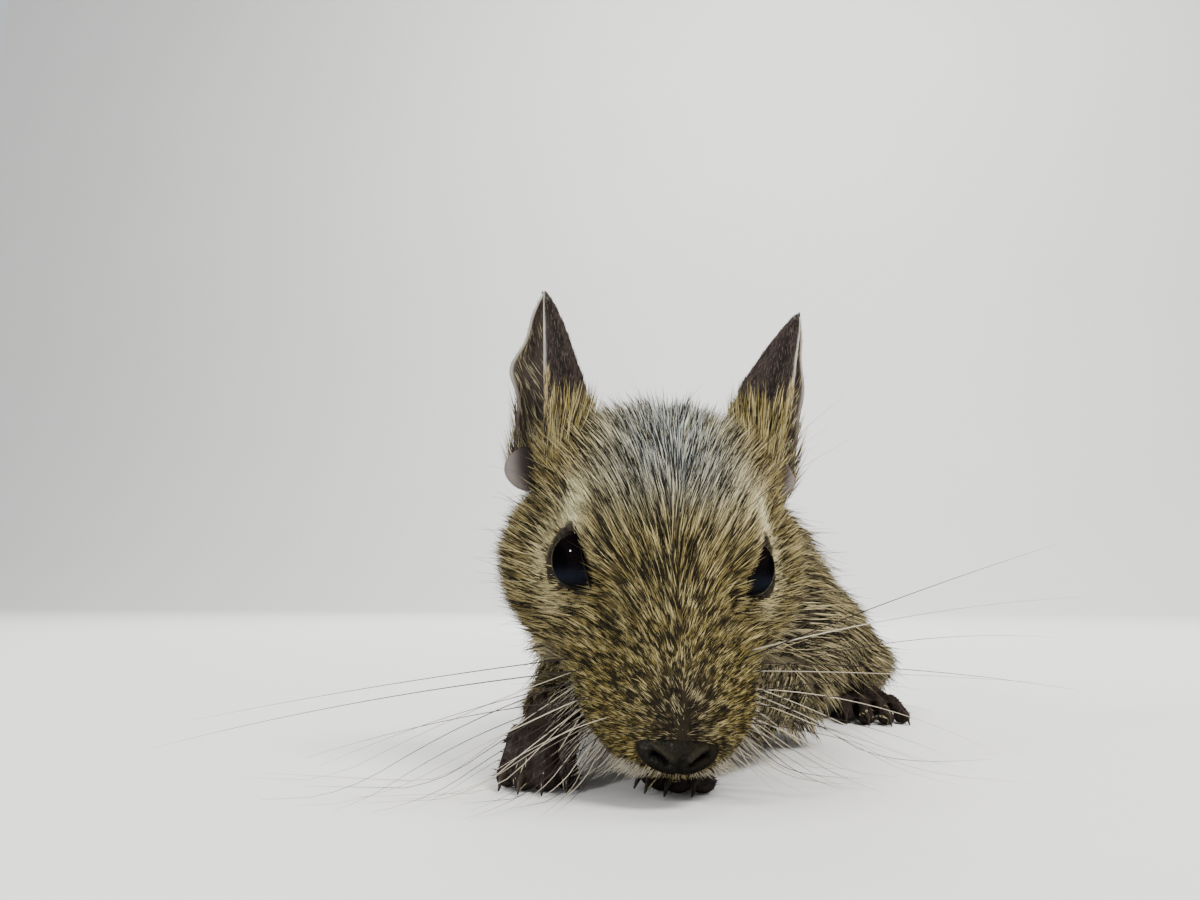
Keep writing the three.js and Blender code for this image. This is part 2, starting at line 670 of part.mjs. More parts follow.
place("tail_root", half(half(brush, tailCut.at, tailCut.along, GAP / 2), tailCuts[0].at, tailCuts[0].along.clone().negate(), GAP / 2), coat);
place("tail_middle", half(half(tailCore, tailCuts[0].at, tailCuts[0].along, GAP / 2), tailCuts[1].at, tailCuts[1].along.clone().negate(), GAP / 2), darkCoat);
place("tail_brush", half(brush, tailCuts[1].at, tailCuts[1].along, GAP / 2), darkCoat);

export default group;
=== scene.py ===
# A crouching degu: one skin under a coat of short tapered hairs, with eyes, lids, nose, ears,
# paws, claws, whiskers and tail brush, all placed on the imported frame. Sizes here are in millimetres
# until a mesh is made, and MM turns them into metres.
import math

import bpy
import numpy as np
from mathutils import Matrix, Vector


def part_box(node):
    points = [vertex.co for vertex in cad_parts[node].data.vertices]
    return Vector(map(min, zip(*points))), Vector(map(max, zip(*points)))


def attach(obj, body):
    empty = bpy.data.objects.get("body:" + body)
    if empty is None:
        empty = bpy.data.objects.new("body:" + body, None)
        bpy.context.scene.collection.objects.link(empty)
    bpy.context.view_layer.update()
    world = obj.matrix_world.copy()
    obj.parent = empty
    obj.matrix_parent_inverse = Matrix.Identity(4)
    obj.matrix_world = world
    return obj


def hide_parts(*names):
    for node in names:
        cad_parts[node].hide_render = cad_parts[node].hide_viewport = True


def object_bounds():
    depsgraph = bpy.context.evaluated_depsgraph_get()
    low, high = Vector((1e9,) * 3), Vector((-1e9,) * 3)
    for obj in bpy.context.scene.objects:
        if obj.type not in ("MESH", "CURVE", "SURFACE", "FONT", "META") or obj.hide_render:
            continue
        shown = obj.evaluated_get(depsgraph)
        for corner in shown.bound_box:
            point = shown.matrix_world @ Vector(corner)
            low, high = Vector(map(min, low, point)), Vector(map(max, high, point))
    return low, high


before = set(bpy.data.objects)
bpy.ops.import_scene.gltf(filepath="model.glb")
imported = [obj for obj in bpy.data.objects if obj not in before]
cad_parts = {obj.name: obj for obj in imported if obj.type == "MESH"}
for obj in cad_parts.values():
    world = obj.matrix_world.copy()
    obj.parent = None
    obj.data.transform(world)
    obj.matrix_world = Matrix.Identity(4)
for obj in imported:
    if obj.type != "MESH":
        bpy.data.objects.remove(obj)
cad_box = [list(corner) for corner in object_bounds()]
MM = 0.001
rng = np.random.default_rng(20)


def vec(*numbers):
    return np.array(numbers, dtype=float)


def unit(v):
    return v / np.maximum(np.linalg.norm(v, axis=-1, keepdims=True), 1e-9)


def ramp(x, low, high):
    """0 below low, 1 above high, smooth between."""
    t = np.clip((x - low) / (high - low), 0.0, 1.0)
    return t * t * (3 - 2 * t)


def bump(x, centre, width):
    return np.exp(-(((x - centre) / width) ** 2))


def mix(a, b, share):
    return a + (b - a) * share


# The head's own frame, as in the solids: x to the animal's left, y back from the nose, z up
HEAD_AT = vec(2.5, -69, 27.2)
HEAD_PITCH = 43
HEAD_TURN = 16
HEAD_ROLL = 3.5
HEAD_AXES = np.array(
    Matrix.Rotation(math.radians(HEAD_TURN), 3, "Z")
    @ Matrix.Rotation(math.radians(HEAD_PITCH), 3, "X")
    @ Matrix.Rotation(math.radians(HEAD_ROLL), 3, "Y")
)


def from_head(p):
    return HEAD_AT + np.asarray(p, dtype=float) @ HEAD_AXES.T


def to_head(p):
    return (np.asarray(p, dtype=float) - HEAD_AT) @ HEAD_AXES


def head_direction(v):
    return unit(np.asarray(v, dtype=float) @ HEAD_AXES.T)


def box_centre(node):
    low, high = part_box(node)
    return (np.array(low) + np.array(high)) / (2 * MM)


SIDES = {"left": 1, "right": -1}
EYE_RADIUS = 4.3
# how far each eye is set in from the solid that it stands for
EYE_INSET = {"left": 1.15, "right": 0.45}
EYES = {
    name: box_centre(f"eye_{name}") - side * EYE_INSET[name] * HEAD_AXES[:, 0]
    for name, side in SIDES.items()
}
EYE_AXES = {name: head_direction((side * 0.88, -0.4, 0.26)) for name, side in SIDES.items()}


# The opening between the lids, in the plane across each eye's axis; angles are in degrees
LID_REACH = 3.68
CORNER_REACH = 0.42
NOSE_CORNER = 0
REAR_CORNER = 128
FLAT_LID = 64


def eye_basis(name):
    """Towards the nose along the lids, up across them, and out of the eye."""
    out = EYE_AXES[name]
    nose = head_direction((0, -1, -0.1))
    nose = unit(nose - (nose @ out) * out)
    over = np.cross(out, nose)
    return nose, over * np.sign(over @ HEAD_AXES[:, 2]), out


def lid_reach(angle):
    """How far the lids' edge is from the eye's axis: a corner at the nose, one up behind it."""

    def near(place, width):
        apart = (angle - math.radians(place) + math.pi) % (2 * math.pi) - math.pi
        return np.exp(-((apart / math.radians(width)) ** 2))

    corners = near(NOSE_CORNER, 20) + near(REAR_CORNER, 24)
    return LID_REACH + CORNER_REACH * (corners - near(FLAT_LID, 34)) + 0.1 * near(245, 60)


def lid_share(name, p):
    """1 on the edge of the opening and less inside it, and the distance from the eyeball's centre."""
    nose, over, out = eye_basis(name)
    away = p - EYES[name]
    gap = np.linalg.norm(away, axis=-1)
    x, y = away @ nose, away @ over
    share = np.hypot(x, y) / lid_reach(np.arctan2(y, x))
    return np.where(away @ out > 0.2, share, 9.0), gap


def eye_share(p):
    """The share of the nearer eye's opening."""
    return np.min([lid_share(name, p)[0] for name in SIDES], axis=0)


# The form of head and body, from the same blended forms as the solids
def ellipsoid(centre, radii):
    centre, radii = vec(*centre), vec(*radii)

    def distance(p):
        q = (p - centre) / radii
        near = np.linalg.norm(q, axis=-1)
        return near * (near - 1) / np.maximum(np.linalg.norm(q / radii, axis=-1), 1e-9)

    return distance


def bone(start, end, start_radius, end_radius):
    start, end = vec(*start), vec(*end)
    along = end - start

    def distance(p):
        t = np.clip((p - start) @ along / (along @ along), 0, 1)
        away = np.linalg.norm(p - start - t[..., None] * along, axis=-1)
        return away - mix(start_radius, end_radius, t)

    return distance


def melt(a, b, blend):
    h = np.maximum(blend - np.abs(a - b), 0) / blend
    return np.minimum(a, b) - h * h * blend / 4


def melted(forms, p, blend):
    total = forms[0](p)
    for form in forms[1:]:
        total = melt(total, form(p), blend)
    return total


def both(make):
    return [make(1), make(-1)]


HEAD_FORMS = [
    ellipsoid((0, 9, 1), (13.5, 17, 11.5)),
    bone((0, 3, 2), (0, -16.5, -4), 9.6, 6.6),
    ellipsoid((0, -21, -5.4), (5.6, 4.6, 5)),
    bone((0, -16, -12), (0, 4, -11), 3.4, 8.5),
    *both(lambda side: ellipsoid((side * 4.3, -16.6, -7.8), (4.6, 6.4, 4.6))),
    *both(lambda side: ellipsoid((side * 1.9, -21.4, -9.2), (2.7, 2.4, 2.3))),
    *both(lambda side: ellipsoid((side * 10.8, 8.5, -8.2), (10.4, 13, 10.6))),
    *both(lambda side: bone((side * 9, 0, -8), (side * 4.6, -14.5, -7.6), 7.6, 5.6)),
    *both(lambda side: ellipsoid((side * 7.2, 2.5, 4.2), (4.6, 7, 4.2))),
    *both(lambda side: ellipsoid((side * 11, 14, 4), (6, 6.5, 6.5))),
]
BODY_FORMS = [
    bone(from_head((0, 11, -3)), (0, -36, 27), 15.5, 17),
    ellipsoid((0, -30, 24.6), (22.5, 23, 17.5)),
    ellipsoid((0, -28, 16), (20, 22, 14.5)),
    ellipsoid((0, 0, 25), (20, 46, 19)),
    ellipsoid((0, 8, 16), (29.5, 42, 16.4)),
    ellipsoid((0, 28, 21), (22, 27, 19)),
    bone((0, 44, 14), (0, 57, 8.5), 9, 6),
    *both(lambda side: ellipsoid((side * 20.6, 20.5, 9.3), (14.5, 24, 9.6))),
    *both(lambda side: ellipsoid((side * 15.5, -36, 15), (8, 12, 13))),
]


def flesh(p):
    head = melted(HEAD_FORMS, to_head(p), 4)
    return melt(head, melted(BODY_FORMS, p, 7), 6)


# Spine of the trunk and the rings round it
def spline(points, count):
    """Even points along a smooth curve through the given ones, and its directions."""
    pts = np.asarray(points, dtype=float)
    padded = np.vstack([2 * pts[0] - pts[1], pts, 2 * pts[-1] - pts[-2]])
    fine = []
    for a, b, c, d in zip(padded[:-3], padded[1:-2], padded[2:-1], padded[3:]):
        t = np.linspace(0, 1, 40, endpoint=False)[:, None]
        square, cube = 2 * a - 5 * b + 4 * c - d, 3 * b - a - 3 * c + d
        fine.append(0.5 * (2 * b + (c - a) * t + square * t**2 + cube * t**3))
    fine = np.vstack([*fine, pts[-1:]])
    run = np.concatenate([[0], np.cumsum(np.linalg.norm(np.diff(fine, axis=0), axis=1))])
    even = np.linspace(0, run[-1], count)
    at = np.stack([np.interp(even, run, fine[:, i]) for i in range(3)], axis=1)
    return at, unit(np.gradient(at, axis=0))


SPINE = [
    from_head((0, -17.5, -6)),
    from_head((0, -6, -4.6)),
    from_head((0, 5, -3.4)),
    (0.4, -53, 34),
    (0, -40, 31.5),
    (0, -18, 27),
    (0, 10, 24.5),
    (0, 36, 20),
]
TRUNK_RINGS = 250
TRUNK_SIDES = 190
CAP_RINGS = 40


def coat_depth(p):
    """How far the skin lies under the solids' outline, which is where the hair ends."""
    q = to_head(p)
    on_head = ramp(-q[..., 1], -22, -12)
    muzzle = ramp(-q[..., 1], 6, 17)
    head = mix(1.7, 0.55, muzzle)
    for eye in EYES.values():
        head = head * (1 - 0.7 * bump(np.linalg.norm(p - eye, axis=-1), 4.4, 2.2))
    return mix(2.5, head, on_head)


def trunk_rings():
    """Rays from the spine: rings across it, with rounded fans of rings at both its ends."""
    at, _ = spline(SPINE, TRUNK_RINGS)
    share = np.linspace(0, 1, TRUNK_RINGS)[:, None]
    turned = np.clip((share - 0.12) / 0.45, 0, 1)
    along = unit(mix(head_direction((0, 1, 0)), vec(0, 1, 0), turned))
    side = mix(head_direction((1, 0, 0)), vec(1, 0, 0), turned)
    side = unit(side - np.sum(side * along, axis=1, keepdims=True) * along)
    over = unit(np.cross(side, along))
    cap = np.radians(90 * (1 - (np.arange(CAP_RINGS) + 0.35) / CAP_RINGS))
    at, along, side, over = (
        np.vstack([np.repeat(rows[:1], CAP_RINGS, 0), rows, np.repeat(rows[-1:], CAP_RINGS, 0)])
        for rows in (at, along, side, over)
    )
    tilt = np.concatenate([-cap, np.zeros(TRUNK_RINGS), cap[::-1]])
    angle = np.linspace(0, 2 * np.pi, TRUNK_SIDES, endpoint=False)
    level = np.cos(tilt)[:, None, None]
    direction = (
        side[:, None] * np.cos(angle)[None, :, None] * level
        + over[:, None] * np.sin(angle)[None, :, None] * level
        + along[:, None] * np.sin(tilt)[:, None, None]
    )
    return np.repeat(at[:, None], TRUNK_SIDES, 1), direction


def leave(start, direction, inset):
    """Where rays that start inside the flesh come out of it, less the coat's depth."""
    reach = np.full(start.shape[:-1], 1.0)
    for _ in range(34):
        p = start + direction * reach[..., None]
        reach += np.clip(-(flesh(p) + inset(p)), -1.2, 2.5) * 0.8
    return start + direction * reach[..., None]


# Meshes from arrays
def new_mesh(name, verts, faces):
    """A mesh from points in millimetres and an array of triangles or quads."""
    faces = np.asarray(faces, dtype=np.int32)
    sides = faces.shape[1]
    mesh = bpy.data.meshes.new(name)
    mesh.vertices.add(len(verts))
    mesh.vertices.foreach_set("co", (np.asarray(verts) * MM).astype(np.float32).ravel())
    mesh.loops.add(faces.size)
    mesh.loops.foreach_set("vertex_index", faces.ravel())
    mesh.polygons.add(len(faces))
    mesh.polygons.foreach_set("loop_start", np.arange(len(faces), dtype=np.int32) * sides)
    mesh.polygons.foreach_set("use_smooth", np.full(len(faces), True))
    mesh.update(calc_edges=True)
    mesh.validate()
    return mesh


def piece(name, mesh, material, replaced=()):
    obj = bpy.data.objects.new(name, mesh)
    bpy.context.scene.collection.objects.link(obj)
    mesh.materials.clear()
    mesh.materials.append(material)
    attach(obj, "root")
    if replaced:
        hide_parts(*replaced)


def paint_points(mesh, colours):
    layer = mesh.color_attributes.new("tint", "FLOAT_COLOR", "POINT")
    full = np.ones((len(colours), 4), dtype=np.float32)
    full[:, :3] = colours
    layer.data.foreach_set("color", full.ravel())


def bands(count, sides):
    """Triangles between each ring of points and the next, the last going back to the first."""
    i = np.arange(sides)
    j = (i + 1) % sides
    faces = []
    for r in range(count):
        a, b = r * sides, ((r + 1) % count) * sides
        faces.append(np.stack([a + i, a + j, b + j], 1))
        faces.append(np.stack([a + i, b + j, b + i], 1))
    return faces


def facing_out(verts, faces):
    """The same mesh, its triangles turned round if they face inwards."""
    a, b, c = (verts[faces[:, k]] for k in range(3))
    return (verts, faces) if np.sum(a * np.cross(b, c)) >= 0 else (verts, faces[:, ::-1])


def rings_mesh(rings):
    """Points and triangles of a closed skin over rings of points, with a point at each end."""
    rings = np.asarray(rings)
    count, sides = rings.shape[:2]
    # both halves of the last band are left off, since it would close the tube on itself
    faces = bands(count, sides)[:-2]
    first, last = count * sides, count * sides + 1
    verts = np.vstack([rings.reshape(-1, 3), rings[0].mean(0), rings[-1].mean(0)])
    i = np.arange(sides)
    j = (i + 1) % sides
    end = (count - 1) * sides
    faces.append(np.stack([np.full(sides, first), j, i], 1))
    faces.append(np.stack([np.full(sides, last), end + i, end + j], 1))
    return facing_out(verts, np.vstack(faces))


def loop_mesh(rings):
    """A ring-shaped skin: the rings of points close on the first again."""
    rings = np.asarray(rings)
    count, sides = rings.shape[:2]
    return facing_out(rings.reshape(-1, 3), np.vstack(bands(count, sides)))


def limb(points, width, height, sides=20, steps=24):
    """A round tapering tube; width and height are functions of the share of its length."""
    at, along = spline(points, steps)
    across = unit(np.cross(along, vec(0, 0, 1)))
    over = unit(np.cross(across, along))
    t = np.linspace(0, 1, steps)
    angle = 2 * np.pi * (np.arange(sides) + 0.5) / sides
    rings = (
        at[:, None]
        + across[:, None] * (width(t)[:, None] * np.cos(angle))[..., None]
        + over[:, None] * (height(t)[:, None] * np.sin(angle))[..., None]
    )
    return rings_mesh(rings)


def ball(centre, radii, axes=np.eye(3), columns=24, rows=16):
    polar = np.pi * (np.arange(rows) + 0.5) / rows
    angle = 2 * np.pi * np.arange(columns) / columns
    rings = np.stack(
        [
            np.sin(polar)[:, None] * np.cos(angle),
            np.sin(polar)[:, None] * np.sin(angle),
            np.repeat(np.cos(polar)[:, None], columns, 1),
        ],
        -1,
    )
    return rings_mesh(vec(*centre) + (rings * vec(*radii)) @ np.asarray(axes).T)


def joined(parts):
    verts, faces, base = [], [], 0
    for v, f in parts:
        verts.append(v)
        faces.append(f + base)
        base += len(v)
    return np.vstack(verts), np.vstack(faces)


def fused(name, parts, voxel, smoothing):
    """Several closed forms remeshed into one and smoothed, as points, triangles and normals."""
    verts, faces = joined(parts)
    obj = bpy.data.objects.new(name, new_mesh(name, verts, faces))
    bpy.context.scene.collection.objects.link(obj)
    remesh = obj.modifiers.new("fuse", "REMESH")
    remesh.mode = "VOXEL"
    remesh.voxel_size = voxel * MM
    smooth = obj.modifiers.new("soften", "SMOOTH")
    smooth.factor = 0.5
    smooth.iterations = smoothing
    obj.modifiers.new("split", "TRIANGULATE")
    made = bpy.data.meshes.new_from_object(obj.evaluated_get(bpy.context.evaluated_depsgraph_get()))
    bpy.data.objects.remove(obj)
    return Surface(made)


class Surface:
    """Arrays of a triangle mesh, for placing hairs on it."""

    def __init__(self, mesh):
        count = len(mesh.vertices)
        self.verts = np.empty(count * 3, dtype=np.float32)
        mesh.vertices.foreach_get("co", self.verts)
        self.verts = self.verts.reshape(-1, 3).astype(float) / MM
        self.faces = np.empty(len(mesh.polygons) * 3, dtype=np.int32)
        mesh.polygons.foreach_get("vertices", self.faces)
        self.faces = self.faces.reshape(-1, 3)
        a, b, c = (self.verts[self.faces[:, k]] for k in range(3))
        cross = np.cross(b - a, c - a)
        self.areas = 0.5 * np.linalg.norm(cross, axis=1)
        self.centres = (a + b + c) / 3
        normals = np.zeros_like(self.verts)
        for k in range(3):
            for axis in range(3):
                normals[:, axis] += np.bincount(self.faces[:, k], cross[:, axis], count)
        self.normals = unit(normals)
        bpy.data.meshes.remove(mesh)

    def scatter(self, count, density):
        """Random points over the faces, and their normals; density gives each face's share."""
        weight = self.areas * density(self.centres)
        total = np.cumsum(weight)
        pick = np.searchsorted(total, rng.random(count) * total[-1])
        u, v = rng.random((2, count))
        over = u + v > 1
        u[over], v[over] = 1 - u[over], 1 - v[over]
        share = np.stack([1 - u - v, u, v], 1)[..., None]
        corner = self.faces[pick]
        return (self.verts[corner] * share).sum(1), unit((self.normals[corner] * share).sum(1))


# Shader building
class Sock:
    """A node socket or number that maths can be written with."""

    def __init__(self, paint, link):
        self.paint, self.link = paint, link

    def _math(self, operation, *values):
        return self.paint.node("ShaderNodeMath", {"operation": operation}, dict(enumerate(values)))

    def __add__(self, other):
        return self._math("ADD", self, other)

    def __sub__(self, other):
        return self._math("SUBTRACT", self, other)

    def __rsub__(self, other):
        return self._math("SUBTRACT", other, self)

    def __mul__(self, other):
        return self._math("MULTIPLY", self, other)

    __radd__ = __add__
    __rmul__ = __mul__


class Paint:
    """One material's node tree."""

    def __init__(self, name, **constants):
        self.material = bpy.data.materials.new(name)
        self.material.use_nodes = True
        self.tree = self.material.node_tree
        self.shader = self.tree.nodes["Principled BSDF"]
        for key, value in constants.items():
            self.shader.inputs[key.replace("_", " ")].default_value = value

    def node(self, kind, settings=None, inputs=None, output=0):
        made = self.tree.nodes.new(kind)
        for key, value in (settings or {}).items():
            setattr(made, key, value)
        for key, value in (inputs or {}).items():
            if isinstance(value, Sock):
                self.tree.links.new(value.link, made.inputs[key])
            else:
                made.inputs[key].default_value = value
        return Sock(self, made.outputs[output])

    def coords(self):
        return self.node("ShaderNodeTexCoord", output="Object")

    def noise(self, scale, detail=3):
        inputs = {"Vector": self.coords(), "Scale": scale, "Detail": detail}
        return self.node("ShaderNodeTexNoise", None, inputs)

    def cells(self, scale):
        inputs = {"Vector": self.coords(), "Scale": scale}
        return self.node("ShaderNodeTexVoronoi", {"feature": "F1"}, inputs)

    def blend(self, share, a, b, mode="MIX"):
        settings = {"data_type": "RGBA", "blend_type": mode}
        return self.node("ShaderNodeMix", settings, {0: share, 6: a, 7: b}, output=2)

    def attribute(self, name):
        return self.node("ShaderNodeAttribute", {"attribute_name": name})

    def feed(self, socket, value):
        self.tree.links.new(value.link, self.shader.inputs[socket])

    def bump(self, height, distance, strength=1.0):
        inputs = {"Height": height, "Distance": distance * MM, "Strength": strength}
        self.feed("Normal", self.node("ShaderNodeBump", None, inputs))


def rgb(*values):
    return (*values, 1.0)


def skin_paint():
    paint = Paint("skin", Roughness=0.8, Specular_IOR_Level=0.2)
    fine = paint.noise(900, 4)
    tint = paint.attribute("tint")
    paint.feed("Base Color", paint.blend(fine * 0.5, tint, rgb(0.02, 0.016, 0.012)))
    paint.bump(fine, 0.25, 0.6)
    return paint.material


def hair_paint(name, roughness, shine):
    paint = Paint(name, Specular_IOR_Level=shine)
    tint = paint.attribute("tint")
    paint.feed("Base Color", tint)
    paint.feed("Roughness", paint.noise(400, 2) * 0.2 + (roughness - 0.1))
    return paint.material


def eye_paint():
    paint = Paint("eye_dark", Roughness=0.05, Specular_IOR_Level=0.16)
    tint = paint.attribute("tint")
    paint.feed("Base Color", tint)
    return paint.material


def nose_paint():
    paint = Paint("nose_skin", Specular_IOR_Level=0.4)
    grain = paint.cells(2600)
    base = paint.blend(grain, rgb(0.004, 0.003, 0.002), rgb(0.012, 0.010, 0.006))
    mottled = paint.blend(paint.noise(500) * 0.6, base, rgb(0.022, 0.018, 0.009))
    paint.feed("Base Color", paint.blend(1.0, mottled, paint.attribute("tint"), "MULTIPLY"))
    paint.feed("Roughness", 0.7 - grain * 0.25)
    paint.bump(grain, 0.16, 0.8)
    return paint.material


def ear_paint():
    paint = Paint("ear_skin", Specular_IOR_Level=0.15)
    mottled = paint.noise(260, 5)
    tint = paint.attribute("tint")
    paint.feed("Base Color", paint.blend(mottled * 0.6, tint, rgb(0.03, 0.024, 0.022)))
    paint.feed("Roughness", mottled * 0.2 + 0.5)
    paint.bump(paint.noise(1400, 4), 0.12, 0.7)
    return paint.material


def paw_paint():
    paint = Paint("paw_skin", Specular_IOR_Level=0.4)
    grain = paint.cells(1700)
    patches = paint.noise(300, 4)
    # the paw skin's dark tones are partly its own colour and partly painted shade
    base = paint.blend(patches, rgb(0.016, 0.011, 0.009), rgb(0.055, 0.038, 0.030))
    paint.feed("Base Color", paint.blend(grain * 0.4, base, rgb(0.012, 0.009, 0.008)))
    paint.feed("Roughness", patches * 0.2 + 0.42)
    paint.bump(grain, 0.12, 0.7)
    return paint.material


def claw_paint():
    paint = Paint("claw", Specular_IOR_Level=0.5)
    streaks = paint.noise(700, 3)
    paint.feed("Base Color", paint.blend(streaks, rgb(0.010, 0.008, 0.007), rgb(0.055, 0.040, 0.030)))
    paint.feed("Roughness", streaks * 0.2 + 0.22)
    return paint.material


SKIN = skin_paint()
FUR = hair_paint("fur", 0.6, 0.14)
BRISTLE = hair_paint("bristle", 0.35, 0.5)
EYE = eye_paint()
NOSE = nose_paint()
EAR = ear_paint()
PAW = paw_paint()
CLAW = claw_paint()

# Colours of the coat, linear
DARK_ROOT = vec(0.026, 0.022, 0.019)
BLACK_TIP = vec(0.012, 0.010, 0.009)
OLIVE = vec(0.31, 0.24, 0.082)
CREAM = vec(0.72, 0.64, 0.37)
OCHRE = vec(0.33, 0.20, 0.05)
BUFF_BELLY = vec(0.46, 0.39, 0.24)
SILVER = vec(0.31, 0.345, 0.355)
BROWN_BACK = vec(0.29, 0.235, 0.118)
PALE_FOOT = vec(0.20, 0.155, 0.105)
MUZZLE_MOSS = vec(0.25, 0.185, 0.038)
NOSE_BROWN = vec(0.06, 0.043, 0.022)
TAIL_BLACK = vec(0.018, 0.015, 0.014)
LID_SKIN = vec(0.016, 0.011, 0.009)
# middle of the pale patch over each eye, in the head's frame
BROWS = {"left": (10.5, 1.3, 5.4), "right": (-11.2, 1.5, 5.7)}


def markings(p):
    """Colour of the pale band at each place, and how strong the dark ticking is there."""
    q = to_head(p)
    x, y, z = np.abs(q[:, 0]), q[:, 1], q[:, 2]
    on_head = ramp(-y, -24, -14) * ramp(-p[:, 1], 38, 48)
    colour = np.repeat(BROWN_BACK[None], len(p), 0)
    height = p[:, 2]

    def lay(tone, share):
        nonlocal colour
        colour = mix(colour, tone, np.clip(share, 0, 1)[:, None])

    lay(mix(OLIVE, BUFF_BELLY, 0.3), 0.4 * ramp(-height, -34, -18))
    lay(BUFF_BELLY, ramp(-height, -11, -4))
    lay(OLIVE, on_head)
    ticks = mix(0.3, 0.44, on_head)
    crown = on_head * bump(x, 0, 8) * ramp(y, -8, 3) * ramp(z, 1, 6)
    lay(SILVER, 0.9 * crown)
    ticks += 0.04 * crown
    snout = on_head * ramp(-y, 9, 17)
    lay(MUZZLE_MOSS, snout)
    ticks += 0.13 * snout
    bridge = on_head * bump(x, 0, 5) * ramp(-y, 2, 8) * ramp(z, -6, 0)
    lay(OLIVE * 0.75, 0.8 * bridge)
    ticks += 0.16 * bridge
    above_pad = on_head * bump(x, 0, 4) * ramp(-y, 17, 22.5) * ramp(z, -7, -4)
    lay(NOSE_BROWN, 0.9 * above_pad)
    for name, side in SIDES.items():
        away = p - EYES[name]
        gap = np.linalg.norm(away, axis=1)
        local = away @ HEAD_AXES
        ring = bump(gap, 6.0, 1.5)
        outer = ramp(side * local[:, 0] - 0.4 * local[:, 2], 0.5, 4)
        lay(CREAM, 0.5 * ring * outer)
        off_brow = np.linalg.norm((q - BROWS[name]) / (1, 1.3, 1.2), axis=1)
        inner = np.clip(1.5 * bump(off_brow, 0, 2.3), 0, 1)
        lay(CREAM * 1.15, inner)
        ticks -= 0.4 * inner + 0.3 * ring * outer
        ear_root = bump(np.linalg.norm(q - (side * 13, 10, 6.5), axis=1), 0, 5.5)
        lay(mix(OCHRE, OLIVE, 0.5), 0.5 * ear_root)
        behind_ear = bump(np.linalg.norm(q - (side * 14.5, 19, 0), axis=1), 0, 5)
        lay(CREAM, 0.5 * behind_ear)
    cheek = on_head * ramp(x, 9, 17) * ramp(-z, -1, 8)
    lay(OLIVE * 0.85, 0.7 * cheek)
    chin = on_head * ramp(-z, 11.5, 15)
    lay(BUFF_BELLY, 0.75 * chin)
    legs = ramp(-height, -9, -3) * ramp(np.abs(p[:, 0]), 4, 8) * ramp(-p[:, 1], 44, 52)
    lay(PALE_FOOT, 0.5 * legs)
    return colour, np.clip(ticks, 0.08, 0.6)


# One skin for head, body, limbs and tail
TAIL_PATH = [
    (0, 50, 10.2),
    (0.5, 60, 7),
    (3, 74, 4.4),
    (8, 94, 3.2),
    (9, 116, 3),
    (1, 138, 3.4),
    (-9, 152, 3.8),
]
FORELEGS = {
    "left": dict(elbow=(15, -40, 12), wrist=(8.6, -61.5, 7), front=(5.6, -68.4, 3.6)),
    "right": dict(elbow=(-15, -42, 12), wrist=(-13.2, -65, 8.6), front=(-12.6, -71, 5)),
}


def tail_radius(t):
    return mix(5.4, 2.7, ramp(t, 0, 0.5)) - 1.2 * ramp(t, 0.5, 1) - 0.55


def tail_centre(count):
    at, _ = spline(TAIL_PATH, count)
    share = np.linspace(0, 1, count)
    level = tail_radius(share) + 0.5
    at[:, 2] = np.where(share > 0.3, level, np.maximum(at[:, 2], level))
    return at


def forearm(leg):
    elbow, wrist = vec(*leg["elbow"]), vec(*leg["wrist"])
    middle = mix(elbow, wrist, 0.5)
    middle[2] = 8.6
    beyond = wrist + 0.5 * unit(wrist - middle)
    return limb(
        [elbow, middle, beyond],
        lambda t: mix(6.6, 3.6, t) - 0.8,
        lambda t: mix(6.4, 3.4, t) - 0.8,
    )


trunk_start, trunk_direction = trunk_rings()
trunk = rings_mesh(leave(trunk_start, trunk_direction, coat_depth))
tail = limb(tail_centre(60), tail_radius, tail_radius, 24, 90)
skin = fused("skin_form", [trunk, tail, *[forearm(leg) for leg in FORELEGS.values()]], 0.56, 4)

# The lids lie on the eyeball round the opening, and inside it the skin is drawn back behind the eyeball
for name in SIDES:
    share, gap = lid_share(name, skin.verts)
    away = (skin.verts - EYES[name]) / gap[:, None]
    near = (gap < EYE_RADIUS + 4) & (share < 4)
    lid = EYE_RADIUS + 0.32 - 0.5 * ramp(share, 1.15, 1.5)
    raised = np.maximum(gap, lid * (share < 1.5))
    hidden = mix(raised, EYE_RADIUS - 0.9, ramp(-share, -1.06, -0.97))
    skin.verts = np.where(near[:, None], EYES[name] + away * hidden[:, None], skin.verts)
skin.verts[:, 2] = np.maximum(skin.verts[:, 2], 0.15)


# The flat map of the coat: stations along a path that runs on past both its ends, points taken in batches
PAST_END = 8
STATIONS = 220
BATCH = 20000


def unwrap(p, path):
    """Place of each point on a flat map: station along a path, and angle round it."""
    path = np.asarray(path, dtype=float)
    before = path[0] + PAST_END * unit(path[0] - path[1])
    after = path[-1] + PAST_END * unit(path[-1] - path[-2])
    stations, _ = spline(np.vstack([before, path, after]), STATIONS)
    result = np.empty((len(p), 2))
    for start in range(0, len(p), BATCH):
        part = p[start : start + BATCH]
        near = np.argmin(((part[:, None] - stations[None]) ** 2).sum(-1), axis=1)
        away = part - stations[near]
        result[start : start + BATCH, 0] = 0.02 + 0.96 * near / STATIONS
        result[start : start + BATCH, 1] = 0.5 + 0.48 * np.arctan2(away[:, 0], away[:, 2]) / np.pi
    return result


def bake_map(mesh, corners_uv):
    layer = mesh.uv_layers.new(name="OFBake")
    layer.data.foreach_set("uv", corners_uv.astype(np.float32).ravel())


